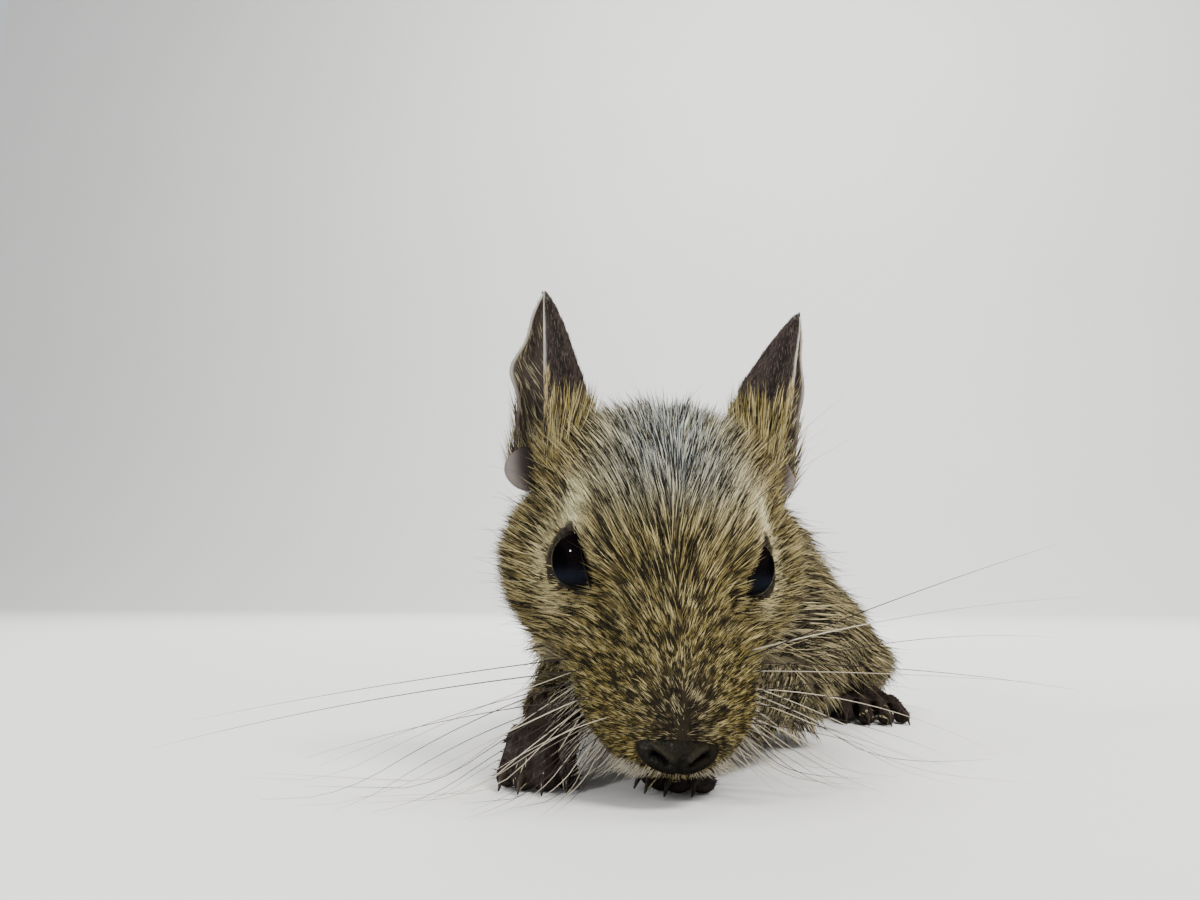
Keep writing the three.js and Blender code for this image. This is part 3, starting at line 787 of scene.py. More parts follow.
skin_mesh = new_mesh("skin", skin.verts, skin.faces)
skin_tone, _ = markings(skin.verts)
lid_dark = ramp(-eye_share(skin.verts), -1.3, -1.08)[:, None]
paint_points(skin_mesh, mix(skin_tone * 0.3, LID_SKIN, lid_dark))
FLESH_NODES = [
    "head", "neck", "torso", "thigh_left", "thigh_right", "foreleg_left", "foreleg_right",
    "tail_root", "tail_middle", "tail_brush",
]
piece("skin", skin_mesh, SKIN, FLESH_NODES)


# The coat
def flow(p, n):
    """The lie of the hair: back from the nose, spreading over the face, then back and down the body."""
    q = to_head(p)
    side = np.sign(q[:, 0])
    x, y, z = np.abs(q[:, 0]), q[:, 1], q[:, 2]
    spread = 0.25 + 0.5 * ramp(x, 2, 9)
    down = -0.15 - 0.35 * ramp(-z, -2, 9) + 0.5 * ramp(z, 0, 7)
    head = np.stack([side * spread, np.ones(len(p)), down], 1) @ HEAD_AXES.T
    for name in SIDES:
        away = p - EYES[name]
        gap = np.linalg.norm(away, axis=1, keepdims=True)
        head = head + 0.5 * away / gap * bump(gap, 4, 3.2)
    flank = ramp(np.abs(p[:, 0]), 4, 20)
    body = np.stack([0.25 * np.sign(p[:, 0]) * flank, np.ones(len(p)), -0.15 - 0.5 * flank], 1)
    on_head = (ramp(-y, -26, -12) * ramp(-p[:, 1], 40, 50))[:, None]
    lie = mix(unit(body), unit(head), on_head)
    behind = p[:, 1] > 56
    if behind.any():
        at, along = spline(tail_centre(60), 60)
        near = np.argmin(((p[behind][:, None, :2] - at[None, :, :2]) ** 2).sum(-1), axis=1)
        lie[behind] = along[near]
    ahead = (p[:, 1] < -44) & (p[:, 2] < 14) & (on_head[:, 0] * (z > -17) < 0.5)
    lie[ahead] = vec(0, -1, -0.25)
    return unit(lie - np.sum(lie * n, 1, keepdims=True) * n)


# Cells along each axis of the lattice that tufts come from, and the most triangles of one piece
CELLS_ACROSS = 8192
MOST_TRIANGLES = 195000
# A hair's thickness as a share of its width, and the lift of its outer half as a share of the root's
HAIR_FLAT = 0.55
HAIR_DROOP = 0.5


def clump(p, size):
    """Index of the tuft that each root belongs to, from a shifted lattice of cells."""
    shift = np.sin(p[:, [1, 2, 0]] * (2.1 / size)) * 0.35
    key = np.floor(p / size + shift).astype(np.int64) + CELLS_ACROSS // 2
    code = (key[:, 0] * CELLS_ACROSS + key[:, 1]) * CELLS_ACROSS + key[:, 2]
    _, index = np.unique(code, return_inverse=True)
    return index


def mean_by(index, values):
    count = np.bincount(index)
    return np.stack([np.bincount(index, values[:, k]) / count for k in range(values.shape[1])], 1)


def hairs(name, path, root, normal, lie, length, width, lift, colours, tuft, gather,
          plain=False, sink=0.25):
    """Closed three-sided hairs as one mesh, bent at their middle; colours holds root, middle and tip.

    Plain hairs are straight spikes with their three points at the root."""
    count = len(root)
    index = clump(root, tuft)
    centre = mean_by(index, root)[index]
    lean = mean_by(index, lie + 0.25 * rng.normal(size=lie.shape))[index]
    wander = unit(rng.normal(size=lie.shape))
    lie = unit(mix(lie, lean, 0.55) + 0.16 * wander)
    rise = np.radians(lift)[:, None]
    length = length[:, None]
    first = lie * np.cos(rise) + normal * np.sin(rise)
    second = lie * np.cos(rise * HAIR_DROOP) + normal * np.sin(rise * HAIR_DROOP)
    base = root - normal * sink
    middle = base + first * 0.5 * length
    tip = middle + second * 0.5 * length
    tuft_tip = centre + lean * length * 0.8 + normal * np.sin(rise) * length * 0.6
    tip = mix(tip, tuft_tip, gather * rng.random((count, 1)))
    middle = mix(middle, 0.5 * (base + tip) + normal * 0.12 * length, 0.35 * gather)
    across = unit(np.cross(first, normal) + 0.15 * wander)
    over = unit(np.cross(across, first))
    half = 0.5 * width[:, None]
    turn = 2 * np.pi * np.arange(3) / 3 + np.pi / 6
    ring = [across * half * np.cos(a) + over * half * HAIR_FLAT * np.sin(a) for a in turn]
    if plain:
        points = np.stack([*[base + r for r in ring], tip], 1)
        pattern = np.array([(0, 2, 1), (0, 1, 3), (1, 2, 3), (2, 0, 3)])
        shade = mix(colours[:, 0], colours[:, 1], 0.6)
        tint_of = np.stack([shade, shade, shade, mix(colours[:, 1], colours[:, 2], 0.7)], 1)
    else:
        points = np.stack([base, *[mix(base, middle, 0.8) + r for r in ring], tip], 1)
        pattern = []
        for k in range(3):
            m = (k + 1) % 3
            pattern += [(0, 1 + m, 1 + k), (1 + k, 1 + m, 4)]
        pattern = np.array(pattern)
        tint_of = np.repeat(colours, [1, 3, 1], axis=1)
    corners = points.shape[1]
    a, b, c = (points[:, pattern[:, k]] for k in range(3))
    centred = points.mean(1)[:, None]
    if np.sum((a - centred) * np.cross(b - centred, c - centred)) < 0:
        pattern = pattern[:, ::-1]
    points[..., 2] = np.maximum(points[..., 2], 0.04 + 0.05 * rng.random((count, corners)))
    place = unwrap(root, path)
    pieces = max(1, math.ceil(count / (MOST_TRIANGLES // len(pattern))))
    order = np.argsort(root[:, 1], kind="stable")
    for number, part in enumerate(np.array_split(order, pieces)):
        faces = (np.arange(len(part))[:, None, None] * corners + pattern[None]).reshape(-1, 3)
        label = f"{name}_{number + 1}" if pieces > 1 else name
        mesh = new_mesh(label, points[part].reshape(-1, 3), faces)
        paint_points(mesh, tint_of[part].reshape(-1, 3))
        round_root = np.arange(corners) * 2 * np.pi / 3
        offset = 0.0015 * np.stack([np.cos(round_root), np.sin(round_root)], 1)
        patch = place[part][:, None] + offset[None]
        bake_map(mesh, patch.reshape(-1, 2)[faces.ravel()])
        piece(label, mesh, FUR)


def agouti(p, streak=0.46):
    """Root, middle and tip colours of each hair; neighbours in a streak are dark or pale together."""
    band, ticks = markings(p)
    count = len(p)
    cell = clump(p, streak)
    shared = rng.random(cell.max() + 1)[cell]
    order = np.argsort(np.argsort(shared + 0.5 * rng.random(count)))
    draw = (order + 0.5) / count
    light = rng.normal(1, 0.15, (count, 1))
    dark = draw < ticks
    pale = draw > 0.8
    root = np.repeat(DARK_ROOT[None], count, 0)
    middle = band * light
    tip = mix(BLACK_TIP * 2, band * light * 1.1, rng.random((count, 1)) ** 0.8)
    middle[dark] = mix(BLACK_TIP, band[dark], 0.06)
    tip[dark] = BLACK_TIP
    middle[pale] = mix(band[pale] * 1.25, CREAM, 0.25) * light[pale]
    tip[pale] = mix(band[pale] * 1.3, CREAM, 0.4) * 1.1
    return np.clip(np.stack([root, middle, tip], 1), 0.004, 0.9)


def root_to_tip(tone, at_root=0.6):
    """Colours of hairs that are darkest at the root and a little paler at the tip."""
    return np.stack([tone * at_root, tone, tone * 1.1], 1)


def clear_of_bare(p):
    """1 where hair grows, 0 on the eyes and nose pad."""
    pad = np.linalg.norm((to_head(p) - PAD_AT) / PAD_RADII, axis=1)
    return 1.0 * (eye_share(p) > 0.98) * (pad > 1.0)


def on_trunk_head(p):
    q = to_head(p)
    return ramp(-q[:, 1], -17, -13) * (p[:, 1] < -48)


HEAD_HAIRS = 64000
HEAD_STUBBLE = 78000
BODY_HAIRS = 42000
BODY_UNDERFUR = 48000
FOREARM_HAIRS = 3000
TAIL_HAIRS = 8000
PAD_AT = vec(0, -24.1, -6.1)
PAD_RADII = vec(4.3, 2.8, 2.5)


def head_coat(name, count, long_share, plain):
    def density(p):
        q = to_head(p)
        muzzle = ramp(-q[:, 1], 4, 18)
        denser = (2.4 if plain else 0.6) * muzzle + 2 * ramp(-eye_share(p), -1.7, -1.1)
        return on_trunk_head(p) * clear_of_bare(p) * (1 + denser)

    root, normal = skin.scatter(count, density)
    q = to_head(root)
    lie = flow(root, normal)
    muzzle = ramp(-q[:, 1], 3, 19)
    near_eye = ramp(-eye_share(root), -2.0, -1.1)
    length = mix(5.0, 1.3, muzzle) * (1 - 0.68 * near_eye)
    length = length * rng.uniform(0.7, 1.2, len(root)) * long_share
    crown = ramp(q[:, 1], 6, 16) * ramp(q[:, 2], 2, 8)
    length *= 1 + 0.3 * crown
    width = mix(0.13, 0.105, muzzle) * rng.uniform(0.7, 1.25, len(root))
    lift = mix(14, 36, muzzle) + 10 * crown + 9 * near_eye + rng.normal(0, 5, len(root))
    lift = np.clip(lift, 5, 55)
    hairs(name, SPINE, root, normal, lie, length, width, lift, agouti(root), 1.5, 0.3, plain=plain)


def on_forearm(p):
    return (p[:, 1] < -45) & (p[:, 2] < 13) & (on_trunk_head(p) < 0.5)


def on_body(p):
    return (1 - on_trunk_head(p)) * (p[:, 1] < 58) * (1.0 - on_forearm(p))


def body_coat(name, count, length, width, plain):
    def density(p):
        return on_body(p) * (0.35 + 0.65 * ramp(p[:, 2], 1, 8))

    root, normal = skin.scatter(count, density)
    lie = flow(root, normal)
    length = length * rng.uniform(0.75, 1.2, len(root)) * mix(0.45, 1, ramp(root[:, 2], 1, 7))
    width = width * rng.uniform(0.7, 1.25, len(root))
    lift = np.clip(12 + rng.normal(0, 3.5, len(root)), 4, 26)
    hairs(name, SPINE, root, normal, lie, length, width, lift, agouti(root, 0.95), 2.4, 0.3, plain=plain)


def forearm_coat(name, leg):
    side = SIDES[name]
    root, normal = skin.scatter(FOREARM_HAIRS, lambda p: on_forearm(p) * (side * p[:, 0] > -2))
    length = 2.6 * rng.uniform(0.75, 1.2, len(root))
    width = 0.19 * rng.uniform(0.75, 1.25, len(root))
    lift = np.clip(14 + rng.normal(0, 4, len(root)), 4, 30)
    path = [leg["elbow"], leg["wrist"], leg["front"]]
    lie = flow(root, normal)
    hairs(f"forearm_fur_{name}", path, root, normal, lie, length, width, lift, agouti(root), 1.5, 0.3)


def tail_coat():
    """Short stiff hairs on the tail, growing into a dark brush at its end."""
    centre, _ = spline(tail_centre(60), 120)
    root, normal = skin.scatter(TAIL_HAIRS, lambda p: (p[:, 1] >= 57) * (1 + 2.2 * ramp(p[:, 1], 105, 130)))
    share = np.argmin(((root[:, None] - centre[None]) ** 2).sum(-1), axis=1) / (len(centre) - 1)
    brush = ramp(share, 0.5, 0.82)
    length = mix(2.6, 12.5, brush) * rng.uniform(0.7, 1.15, len(root))
    width = mix(0.24, 0.34, brush) * rng.uniform(0.75, 1.25, len(root))
    lift = np.clip(mix(16, 24, brush) + rng.normal(0, 6, len(root)), 4, 45)
    under = ramp(-normal[:, 2], -0.1, 0.5) * (1 - brush)
    dark = mix(TAIL_BLACK, BROWN_BACK * 0.45, (0.8 * ramp(-share, -0.35, 0))[:, None])
    tone = mix(dark, BUFF_BELLY * 0.8, 0.75 * under[:, None])
    tone = tone * rng.uniform(0.6, 1.5, (len(root), 1))
    lie = flow(root, normal)
    hairs("tail_fur", TAIL_PATH, root, normal, lie, length, width, lift, root_to_tip(tone), 2.4, 0.3)


head_coat("face_fur", HEAD_HAIRS, 1.05, False)
head_coat("face_stubble", HEAD_STUBBLE, 0.85, True)
body_coat("body_fur", BODY_HAIRS, 8.5, 0.26, False)
body_coat("body_underfur", BODY_UNDERFUR, 6.5, 0.26, True)
for name, leg in FORELEGS.items():
    forearm_coat(name, leg)
tail_coat()


# Eyes and lids
def make_eye(name):
    nose, over, out = eye_basis(name)
    verts, faces = ball(EYES[name], [EYE_RADIUS] * 3, np.stack([nose, over, out], 1), 64, 48)
    away = verts - EYES[name]
    facing = away @ out / EYE_RADIUS
    verts = EYES[name] + away * (1 + 0.045 * ramp(facing, 0.55, 0.95))[:, None]
    streak = 0.8 + 0.4 * np.sin(17 * np.arctan2(away @ over, away @ nose)) * np.sin(31 * facing)
    iris = ramp(facing, 0.5, 0.6) * ramp(-facing, -0.93, -0.88)
    tone = mix(vec(0.0012, 0.0012, 0.0015), vec(0.004, 0.003, 0.003), (iris * streak)[:, None])
    # painted reflection: a faint bluish tint on the lower part of the eyeball
    painted_reflection = bump(away[:, 2] / EYE_RADIUS, -0.45, 0.2) * ramp(facing, 0.1, 0.5)
    tone = mix(tone, vec(0.007, 0.009, 0.013), painted_reflection[:, None])
    mesh = new_mesh(f"eye_{name}_ball", verts, faces)
    paint_points(mesh, tone)
    piece(f"eye_{name}_ball", mesh, EYE, [f"eye_{name}"])


def make_lids(name):
    """The dark rim of both lids, a little thicker at its two corners."""
    nose, over, out = eye_basis(name)
    around = np.linspace(0, 2 * np.pi, 120, endpoint=False)
    reach = lid_reach(around) + 0.1
    outward = nose * np.cos(around)[:, None] + over * np.sin(around)[:, None]
    height = np.sqrt(np.maximum((EYE_RADIUS + 0.14) ** 2 - reach**2, 0.2))
    centre = EYES[name] + outward * reach[:, None] + out * height[:, None]
    up = unit(centre - EYES[name])
    wide = unit(outward - np.sum(outward * up, 1, keepdims=True) * up)
    loop = np.linspace(0, 2 * np.pi, 12, endpoint=False)
    width = 0.13 + 0.1 * (reach - LID_REACH) / CORNER_REACH
    rings = (
        centre[:, None]
        + wide[:, None] * (width[:, None] * (0.5 + np.cos(loop)))[..., None]
        + up[:, None] * (0.26 * np.sin(loop))[None, :, None]
    )
    verts, faces = loop_mesh(rings)
    mesh = new_mesh(f"lids_{name}", verts, faces)
    crease = rng.uniform(0.7, 1.3, (len(verts), 1))
    paint_points(mesh, vec(0.010, 0.007, 0.006) * crease)
    piece(f"lids_{name}", mesh, EAR)


for name in SIDES:
    make_eye(name)
    make_lids(name)


# Nose pad with its two comma-shaped nostrils and the groove between them, set out across its front
NOSE_FRONT = vec(0, 0.574, 0.82)
# a nostril's middle line from its outer end inwards: across the pad and up it
NOSTRIL = [(2.9, -0.1, 0), (2.5, -0.25, 0), (1.9, -0.6, 0), (1.25, -1.1, 0)]


def make_nose():
    verts, faces = ball((0, 0, 0), (1, 1, 1), columns=150, rows=110)
    form = verts * PAD_RADII
    normal = unit(verts / PAD_RADII)
    form[:, 0] *= 1 + 0.1 * ramp(verts[:, 2], -0.6, 0.5)
    front = ramp(-(verts @ vec(0, 0.82, -0.574)), 0.0, 0.3)
    across, height = np.abs(form[:, 0]), form @ NOSE_FRONT
    path, _ = spline(NOSTRIL, 30)
    outer = np.linspace(1, 0, 30)
    apart = np.hypot(across[:, None] - path[None, :, 0], height[:, None] - path[None, :, 1])
    slit = np.max(np.exp(-((apart / (0.2 + 0.24 * outer)) ** 2)), axis=1)
    fold = np.hypot(across[:, None] - path[None, :, 0] + 0.25, height[:, None] - path[None, :, 1] - 0.75)
    ridge = np.max(np.exp(-((fold / 0.38) ** 2)), axis=1)
    groove = bump(across, 0, 0.26) * ramp(-height, 0.2, 1.0)
    crown = bump(across, 0, 1.3) * bump(height, 0.5, 0.8)
    shape = front * (0.32 * ridge - 1.0 * slit - 0.4 * groove + 0.2 * crown)
    mesh = new_mesh("nose_pad", from_head(PAD_AT + form + normal * shape[:, None]), faces)
    # painted shade darkens the nostril slits, and a painted highlight lightens the fold above and inside
    # each nostril
    shade = (1 - 0.84 * front * slit) * (1 + 0.8 * ridge)
    paint_points(mesh, np.repeat(shade[:, None], 3, 1))
    piece("nose_pad", mesh, NOSE, ["nose"])


make_nose()


# Ears: a shell rolled round its own axis, open to the side, with a lobe at its lower edge
EAR_LENGTH = 27
EAR_RADIUS = 5.4
EAR_WALL = 0.62
EAR_ROOTS = {"left": (14, 12.6, 1.6), "right": (-14.6, 12.6, 1)}
EAR_SPREAD = {"left": (0.34, 0.4), "right": (0.12, 1.7)}
EAR_LOBE_OUT = {"left": 1.6, "right": 3.1}
EAR_LEANS = {"left": (0.2, 0.7, 0.74), "right": (-0.06, 0.66, 0.8)}


def ear_axes(name):
    side = SIDES[name]
    axis = head_direction(EAR_LEANS[name])
    front = head_direction((side * 0.1, -0.8, 0.6))
    front = unit(front - (front @ axis) * axis)
    inward = np.cross(axis, front)
    return axis, front, inward * np.sign(inward @ head_direction((-side, 0, 0)))


def ear_point(name, u, v, inner):
    """u runs from the front edge round the inward side to the rear edge, v from root to tip."""
    axis, front, inward = ear_axes(name)
    taper = 1 - 0.12 * ramp(0.3 - v, 0, 0.3) - 0.8 * np.clip((v - 0.36) / 0.64, 0, 1) ** 1.1
    taper = taper * np.sqrt(np.clip(1 - (np.clip(v - 0.86, 0, 1) / 0.142) ** 2, 0.01, 1))
    radius = EAR_RADIUS * taper - inner * EAR_WALL * (1 - 0.4 * v)
    radius = np.maximum(radius, 0.12)
    opening = mix(38, 62, v)
    angle = np.radians(mix(-90 - 0.1 * opening, 176 - 0.5 * opening, u))
    curl = 1 - 0.16 * bump(u, 0.02, 0.1)
    rear = ramp(u, 0.72, 1)
    edge = 1 + rear * (0.1 * bump(v, 0.6, 0.12) - 0.06 * bump(v, 0.4, 0.1) + 0.1 * bump(v, 0.12, 0.12))
    broad, flare = EAR_SPREAD[name]
    reach_in = 1 + broad * bump(u, 0.4, 0.25) * bump(v, 0.62, 0.25)
    flare = flare * ramp(u, 0.55, 1) * (bump(v, 0.62, 0.12) + 0.25 * bump(v, 0.84, 0.1))
    ripple = 1 + 0.02 * np.sin(23 * v + 5 * u) * ramp(v, 0.1, 0.4)
    lean = 1.8 * v * v
    reach = radius * curl * edge * ripple
    return (
        from_head(EAR_ROOTS[name])
        + axis * (EAR_LENGTH * v)[..., None]
        + front * (-lean - reach * 0.95 * np.sin(angle))[..., None]
        + inward * (reach * reach_in * np.cos(angle) - 0.4 * lean - flare)[..., None]
    )


def make_ear(name):
    rows, columns = 90, 56
    v = np.repeat(np.linspace(0, 1, rows)[:, None], columns, 1)
    u = np.repeat(np.linspace(0, 1, columns)[None], rows, 0)
    outer = ear_point(name, u, v, 0)
    inner = ear_point(name, u, v, 1)[:, ::-1]
    verts, faces = rings_mesh(np.concatenate([outer, inner], 1))
    both_u = np.concatenate([u, u[:, ::-1]], 1).ravel()
    both_v = np.concatenate([v, v], 1).ravel()
    inside = np.concatenate([np.zeros_like(u), np.ones_like(u)], 1).ravel()
    extra = np.zeros(len(verts) - len(both_u))
    both_u, both_v, inside = (np.append(a, extra) for a in (both_u, both_v, inside))
    both_v[-1] = 1
    rim = np.maximum(bump(both_u, 0, 0.022), 0.7 * bump(both_u, 1, 0.02)) * ramp(both_v, 0.3, 0.8)
    tip = ramp(both_v, 0.95, 1)
    tone = mix(vec(0.052, 0.036, 0.031), vec(0.12, 0.088, 0.075), inside[:, None])
    # painted shade along the groove beside the front rim, on the outer face only
    shade = bump(both_u, 0.16, 0.1) * (1 - inside)
    tone = tone * (1 - 0.8 * shade[:, None]) * mix(0.6, 1, ramp(both_v, 0.1, 0.45))[:, None]
    tone = mix(tone, vec(0.72, 0.68, 0.60), np.clip(rim + 0.8 * tip, 0, 1)[:, None])
    mesh = new_mesh(f"ear_{name}_shell", verts, faces)
    paint_points(mesh, tone)
    piece(f"ear_{name}_shell", mesh, EAR, [f"ear_{name}"])


def make_lobe(name):
    """The pale lobe at the ear's lower outer edge."""
    verts, faces = ball((0, 0, 0), (1, 1, 1), columns=40, rows=28)
    axis, front, inward = ear_axes(name)
    bulge = verts[:, :1] * 2.5 + 0.5 * np.cos(1.8 * verts[:, 2:])
    form = -inward * bulge + front * verts[:, 1:2] * 2 + axis * verts[:, 2:] * 3
    lobe_at = from_head(EAR_ROOTS[name]) - inward * EAR_LOBE_OUT[name] - front * 0.2 + axis * 2.6
    mesh = new_mesh(f"ear_{name}_lobe", lobe_at + form, faces)
    # painted light on one side of the lobe and painted shade on the other
    lit = ramp(verts[:, 0] - 0.35 * verts[:, 2], -0.2, 0.8)[:, None]
    tone = mix(vec(0.035, 0.026, 0.022), vec(0.24, 0.205, 0.185), lit)
    paint_points(mesh, tone)
    piece(f"ear_{name}_lobe", mesh, EAR)


def make_ear_hair(name):
    """Fine hairs inside the cup, along its edges and over its back, and dense ones round the root."""
    # each row: count, span from front edge to rear edge, span from root to tip, 1 if inside the cup,
    # length, lift in degrees, colour, share of dark hairs
    groups = [
        (380, (0.5, 1.0), (0.03, 0.8), 1, 4.2, 16, CREAM * 0.9, 0.1),
        (420, (0.0, 0.05), (0.0, 0.55), 0, 2.6, 12, mix(OCHRE, CREAM, 0.45), 0.25),
        (3600, (0.0, 1.0), (0.0, 0.38), 0, 6.0, 12, OLIVE * 0.85, 0.42),
        (1100, (0.0, 0.9), (0.0, 0.34), 0, 6.5, 16, mix(OLIVE, CREAM, 0.4), 0.35),
        (5200, (0.03, 0.97), (0.2, 0.99), 0, 2.0, 8, vec(0.10, 0.076, 0.06), 0.45),
        (1500, (0.5, 0.97), (0.2, 0.95), 1, 1.3, 8, vec(0.20, 0.16, 0.12), 0.3),
        (260, (0.93, 1.0), (0.1, 0.95), 0, 1.3, 10, CREAM, 0.2),
    ]
    ear_root = from_head(EAR_ROOTS[name])
    grown = []
    for count, (u0, u1), (v0, v1), inner, length, lift, tone, darker in groups:
        long_hair = length > 5
        u = rng.uniform(u0, u1, count)
        v = v0 + (v1 - v0) * rng.random(count) ** (2.4 if long_hair else 1.3)
        at = ear_point(name, u, v, inner)
        step_u = ear_point(name, u + 0.01, v, inner) - at
        step_v = ear_point(name, u, v + 0.01, inner) - at
        normal = unit(np.cross(step_u, step_v))
        centre = ear_root + ear_axes(name)[0] * (EAR_LENGTH * v)[:, None]
        outward = np.sign(np.sum(normal * (at - centre), 1, keepdims=True)) * (-1 if inner else 1)
        lie = unit(unit(step_v) + (0.6 if inner else 0.1) * unit(step_u))
        lengths = length * (1 - 0.5 * v) * rng.uniform(0.5, 1.2, count)
        widths = (0.13 if long_hair else 0.085) * rng.uniform(0.7, 1.2, count)
        lifts = np.clip(lift + rng.normal(0, 5, count), 2, 45)
        shades = tone * rng.uniform(0.55, 1.25, (count, 1))
        shades[rng.random(count) < darker] = BLACK_TIP * 2
        colours = root_to_tip(shades, at_root=0.5)
        grown.append((at, normal * outward, lie, lengths, widths, lifts, colours))
    ear_tip = ear_point(name, np.array([0.4]), np.array([1.0]), 0)[0]
    columns = [np.concatenate(column) for column in zip(*grown)]
    hairs(f"ear_fur_{name}", [ear_root, ear_tip], *columns, 1.2, 0.2, sink=0.05)


for name in SIDES:
    make_ear(name)
    make_lobe(name)
    make_ear_hair(name)


# Paws: palm or sole, toes with pads, and claws
def toe_forms(root, direction, length, width, claw):
    reach = unit(vec(*direction))
    root = vec(*root)
    knuckle = root + reach * 0.45 * length + (0, 0, 0.55 * width)
    tip = root + reach * length
    tip[2] = 0.44 * width
    pad = tip - reach * 0.2 * width
    pad[2] = 0.42 * width
    claw_base = tip - reach * 0.7 + (0, 0, 0.2)
    claw_mid = tip + reach * 0.55 * claw + (0, 0, 0.35)
    claw_tip = tip + reach * claw
    claw_tip[2] = 0.2

    def thick(t):
        return 0.5 * width * (0.94 + 0.12 * np.cos(2 * np.pi * t) - 0.2 * t)

    flesh_parts = [
        limb([root, knuckle, tip], thick, thick, 16, 20),
        ball(knuckle - (0, 0, 0.25 * width), [0.5 * width] * 3),
        ball(pad, [0.52 * width, 0.52 * width, 0.4 * width]),
    ]
    claw_part = limb(
        [claw_base, claw_mid, claw_tip],
        lambda t: mix(0.62, 0.1, t**1.3),
        lambda t: mix(0.78, 0.1, t**1.3),
        14,
        16,
    )
    return flesh_parts, claw_part


def make_foot(name, node, heel, front, spread, lengths, toe_width, width, height, claw, hair_count):
    heel, front = vec(*heel), vec(*front)
    flat_reach = (front - heel) * (1, 1, 0)
    reach = unit(flat_reach)
    across = np.cross(reach, (0, 0, 1))
    flesh_parts = [
        limb(
            [heel, mix(heel, front, 0.5), front],
            lambda t: width * mix(0.74, 1, t),
            lambda t: height * mix(1, 0.8, t),
            24,
            20,
        )
    ]
    claws = []
    for i, length in enumerate(lengths):
        share = i / (len(lengths) - 1) - 0.5
        root = front + across * share * 1.55 * width - reach * (1.6 + 1.6 * abs(share))
        root[2] = front[2] - 0.3 * height
        parts, claw_part = toe_forms(root, reach + across * share * spread, length, toe_width, claw)
        flesh_parts += parts
        claws.append(claw_part)
    form = fused(name, flesh_parts, 0.3, 3)
    form.verts[:, 2] = np.maximum(form.verts[:, 2], 0.02)
    piece(name, new_mesh(name, form.verts, form.faces), PAW, [node])
    claw_verts, claw_faces = joined(claws)
    claw_verts[:, 2] = np.maximum(claw_verts[:, 2], 0.03)
    piece(f"{name}_claws", new_mesh(f"{name}_claws", claw_verts, claw_faces), CLAW)
    root, normal = form.scatter(hair_count, lambda p: 1.0 * (p[:, 2] > 1.2))
    keep = normal[:, 2] > -0.1
    root, normal = root[keep], normal[keep]
    lie = reach - np.sum(normal * reach, 1, keepdims=True) * normal
    ahead = (root - front) @ reach
    # darker towards the toes: partly the toes' own colour and partly painted shade
    tone = mix(vec(0.12, 0.09, 0.06), vec(0.03, 0.022, 0.018), ramp(ahead, -4, 3)[:, None])
    tone = tone * rng.uniform(0.5, 1.7, (len(root), 1))
    bristle = (ahead > 0.6 * max(lengths)) & (rng.random(len(root)) < 0.06)
    tone[bristle] = CREAM * 0.8
    length = np.where(bristle, 3.0, 1.5) * rng.uniform(0.7, 1.2, len(root))
    count = len(root)
    hairs(
        f"{name}_fur", [heel, front, front + reach * max(lengths)], root, normal, unit(lie), length,
        np.full(count, 0.15), np.full(count, 12.0), root_to_tip(tone), 1.2, 0.2,
    )


for name, leg in FORELEGS.items():
    make_foot(
        f"forefoot_{name}", f"forepaw_{name}", leg["wrist"], leg["front"], 0.3,
        [8.2 - 1.1 * abs(i - 1.4) for i in range(4)], 3.0, 3.5, 2.7, 2.7, 2200,
    )
for name, side in SIDES.items():
    make_foot(
        f"hind_paw_{name}", f"hindfoot_{name}", (side * 25, 27, 4), (side * 28.5, 3, 3), 0.34,
        [12 - 1.5 * abs(i - 1.5) for i in range(4)], 2.9, 4.3, 3.5, 3, 3800,
    )


# Whiskers and other long bristles, drawn as lines and given their thickness by Geometry Nodes
def bristle_tree():
    tree = bpy.data.node_groups.new("tapered_bristles", "GeometryNodeTree")
    face = tree.interface
    face.new_socket("Lines", in_out="INPUT", socket_type="NodeSocketGeometry")
    sides = face.new_socket("Sides", in_out="INPUT", socket_type="NodeSocketInt")
    sides.default_value = 6
    face.new_socket("Material", in_out="INPUT", socket_type="NodeSocketMaterial")
    face.new_socket("Geometry", in_out="OUTPUT", socket_type="NodeSocketGeometry")
    nodes, links = tree.nodes, tree.links
    source, result = nodes.new("NodeGroupInput"), nodes.new("NodeGroupOutput")
    curve = nodes.new("GeometryNodeMeshToCurve")
    thick = nodes.new("GeometryNodeInputNamedAttribute")
    thick.data_type = "FLOAT"
    thick.inputs["Name"].default_value = "thickness"
    radius = nodes.new("GeometryNodeSetCurveRadius")
    profile = nodes.new("GeometryNodeCurvePrimitiveCircle")
    profile.inputs["Radius"].default_value = 1.0
    sweep = nodes.new("GeometryNodeCurveToMesh")
    sweep.inputs["Fill Caps"].default_value = True
    smooth = nodes.new("GeometryNodeSetShadeSmooth")
    realize = nodes.new("GeometryNodeRealizeInstances")
    finish = nodes.new("GeometryNodeSetMaterial")
    joins = [
        (source, "Lines", curve, "Mesh"),
        (curve, "Curve", radius, "Curve"),
        (thick, "Attribute", radius, "Radius"),
        (radius, "Curve", sweep, "Curve"),
        (source, "Sides", profile, "Resolution"),
        (profile, "Curve", sweep, "Profile Curve"),
        (sweep, "Mesh", smooth, "Geometry"),
        (smooth, "Geometry", realize, "Geometry"),
        (realize, "Geometry", finish, "Geometry"),
        (source, "Material", finish, "Material"),
        (finish, "Geometry", result, "Geometry"),
    ]
    # where the sweep has a Scale socket, the thickness goes in there too
    if "Scale" in sweep.inputs:
        joins.append((thick, "Attribute", sweep, "Scale"))
    for giver, output, taker, socket in joins:
        links.new(giver.outputs[output], taker.inputs[socket])
    return tree


BRISTLES = bristle_tree()


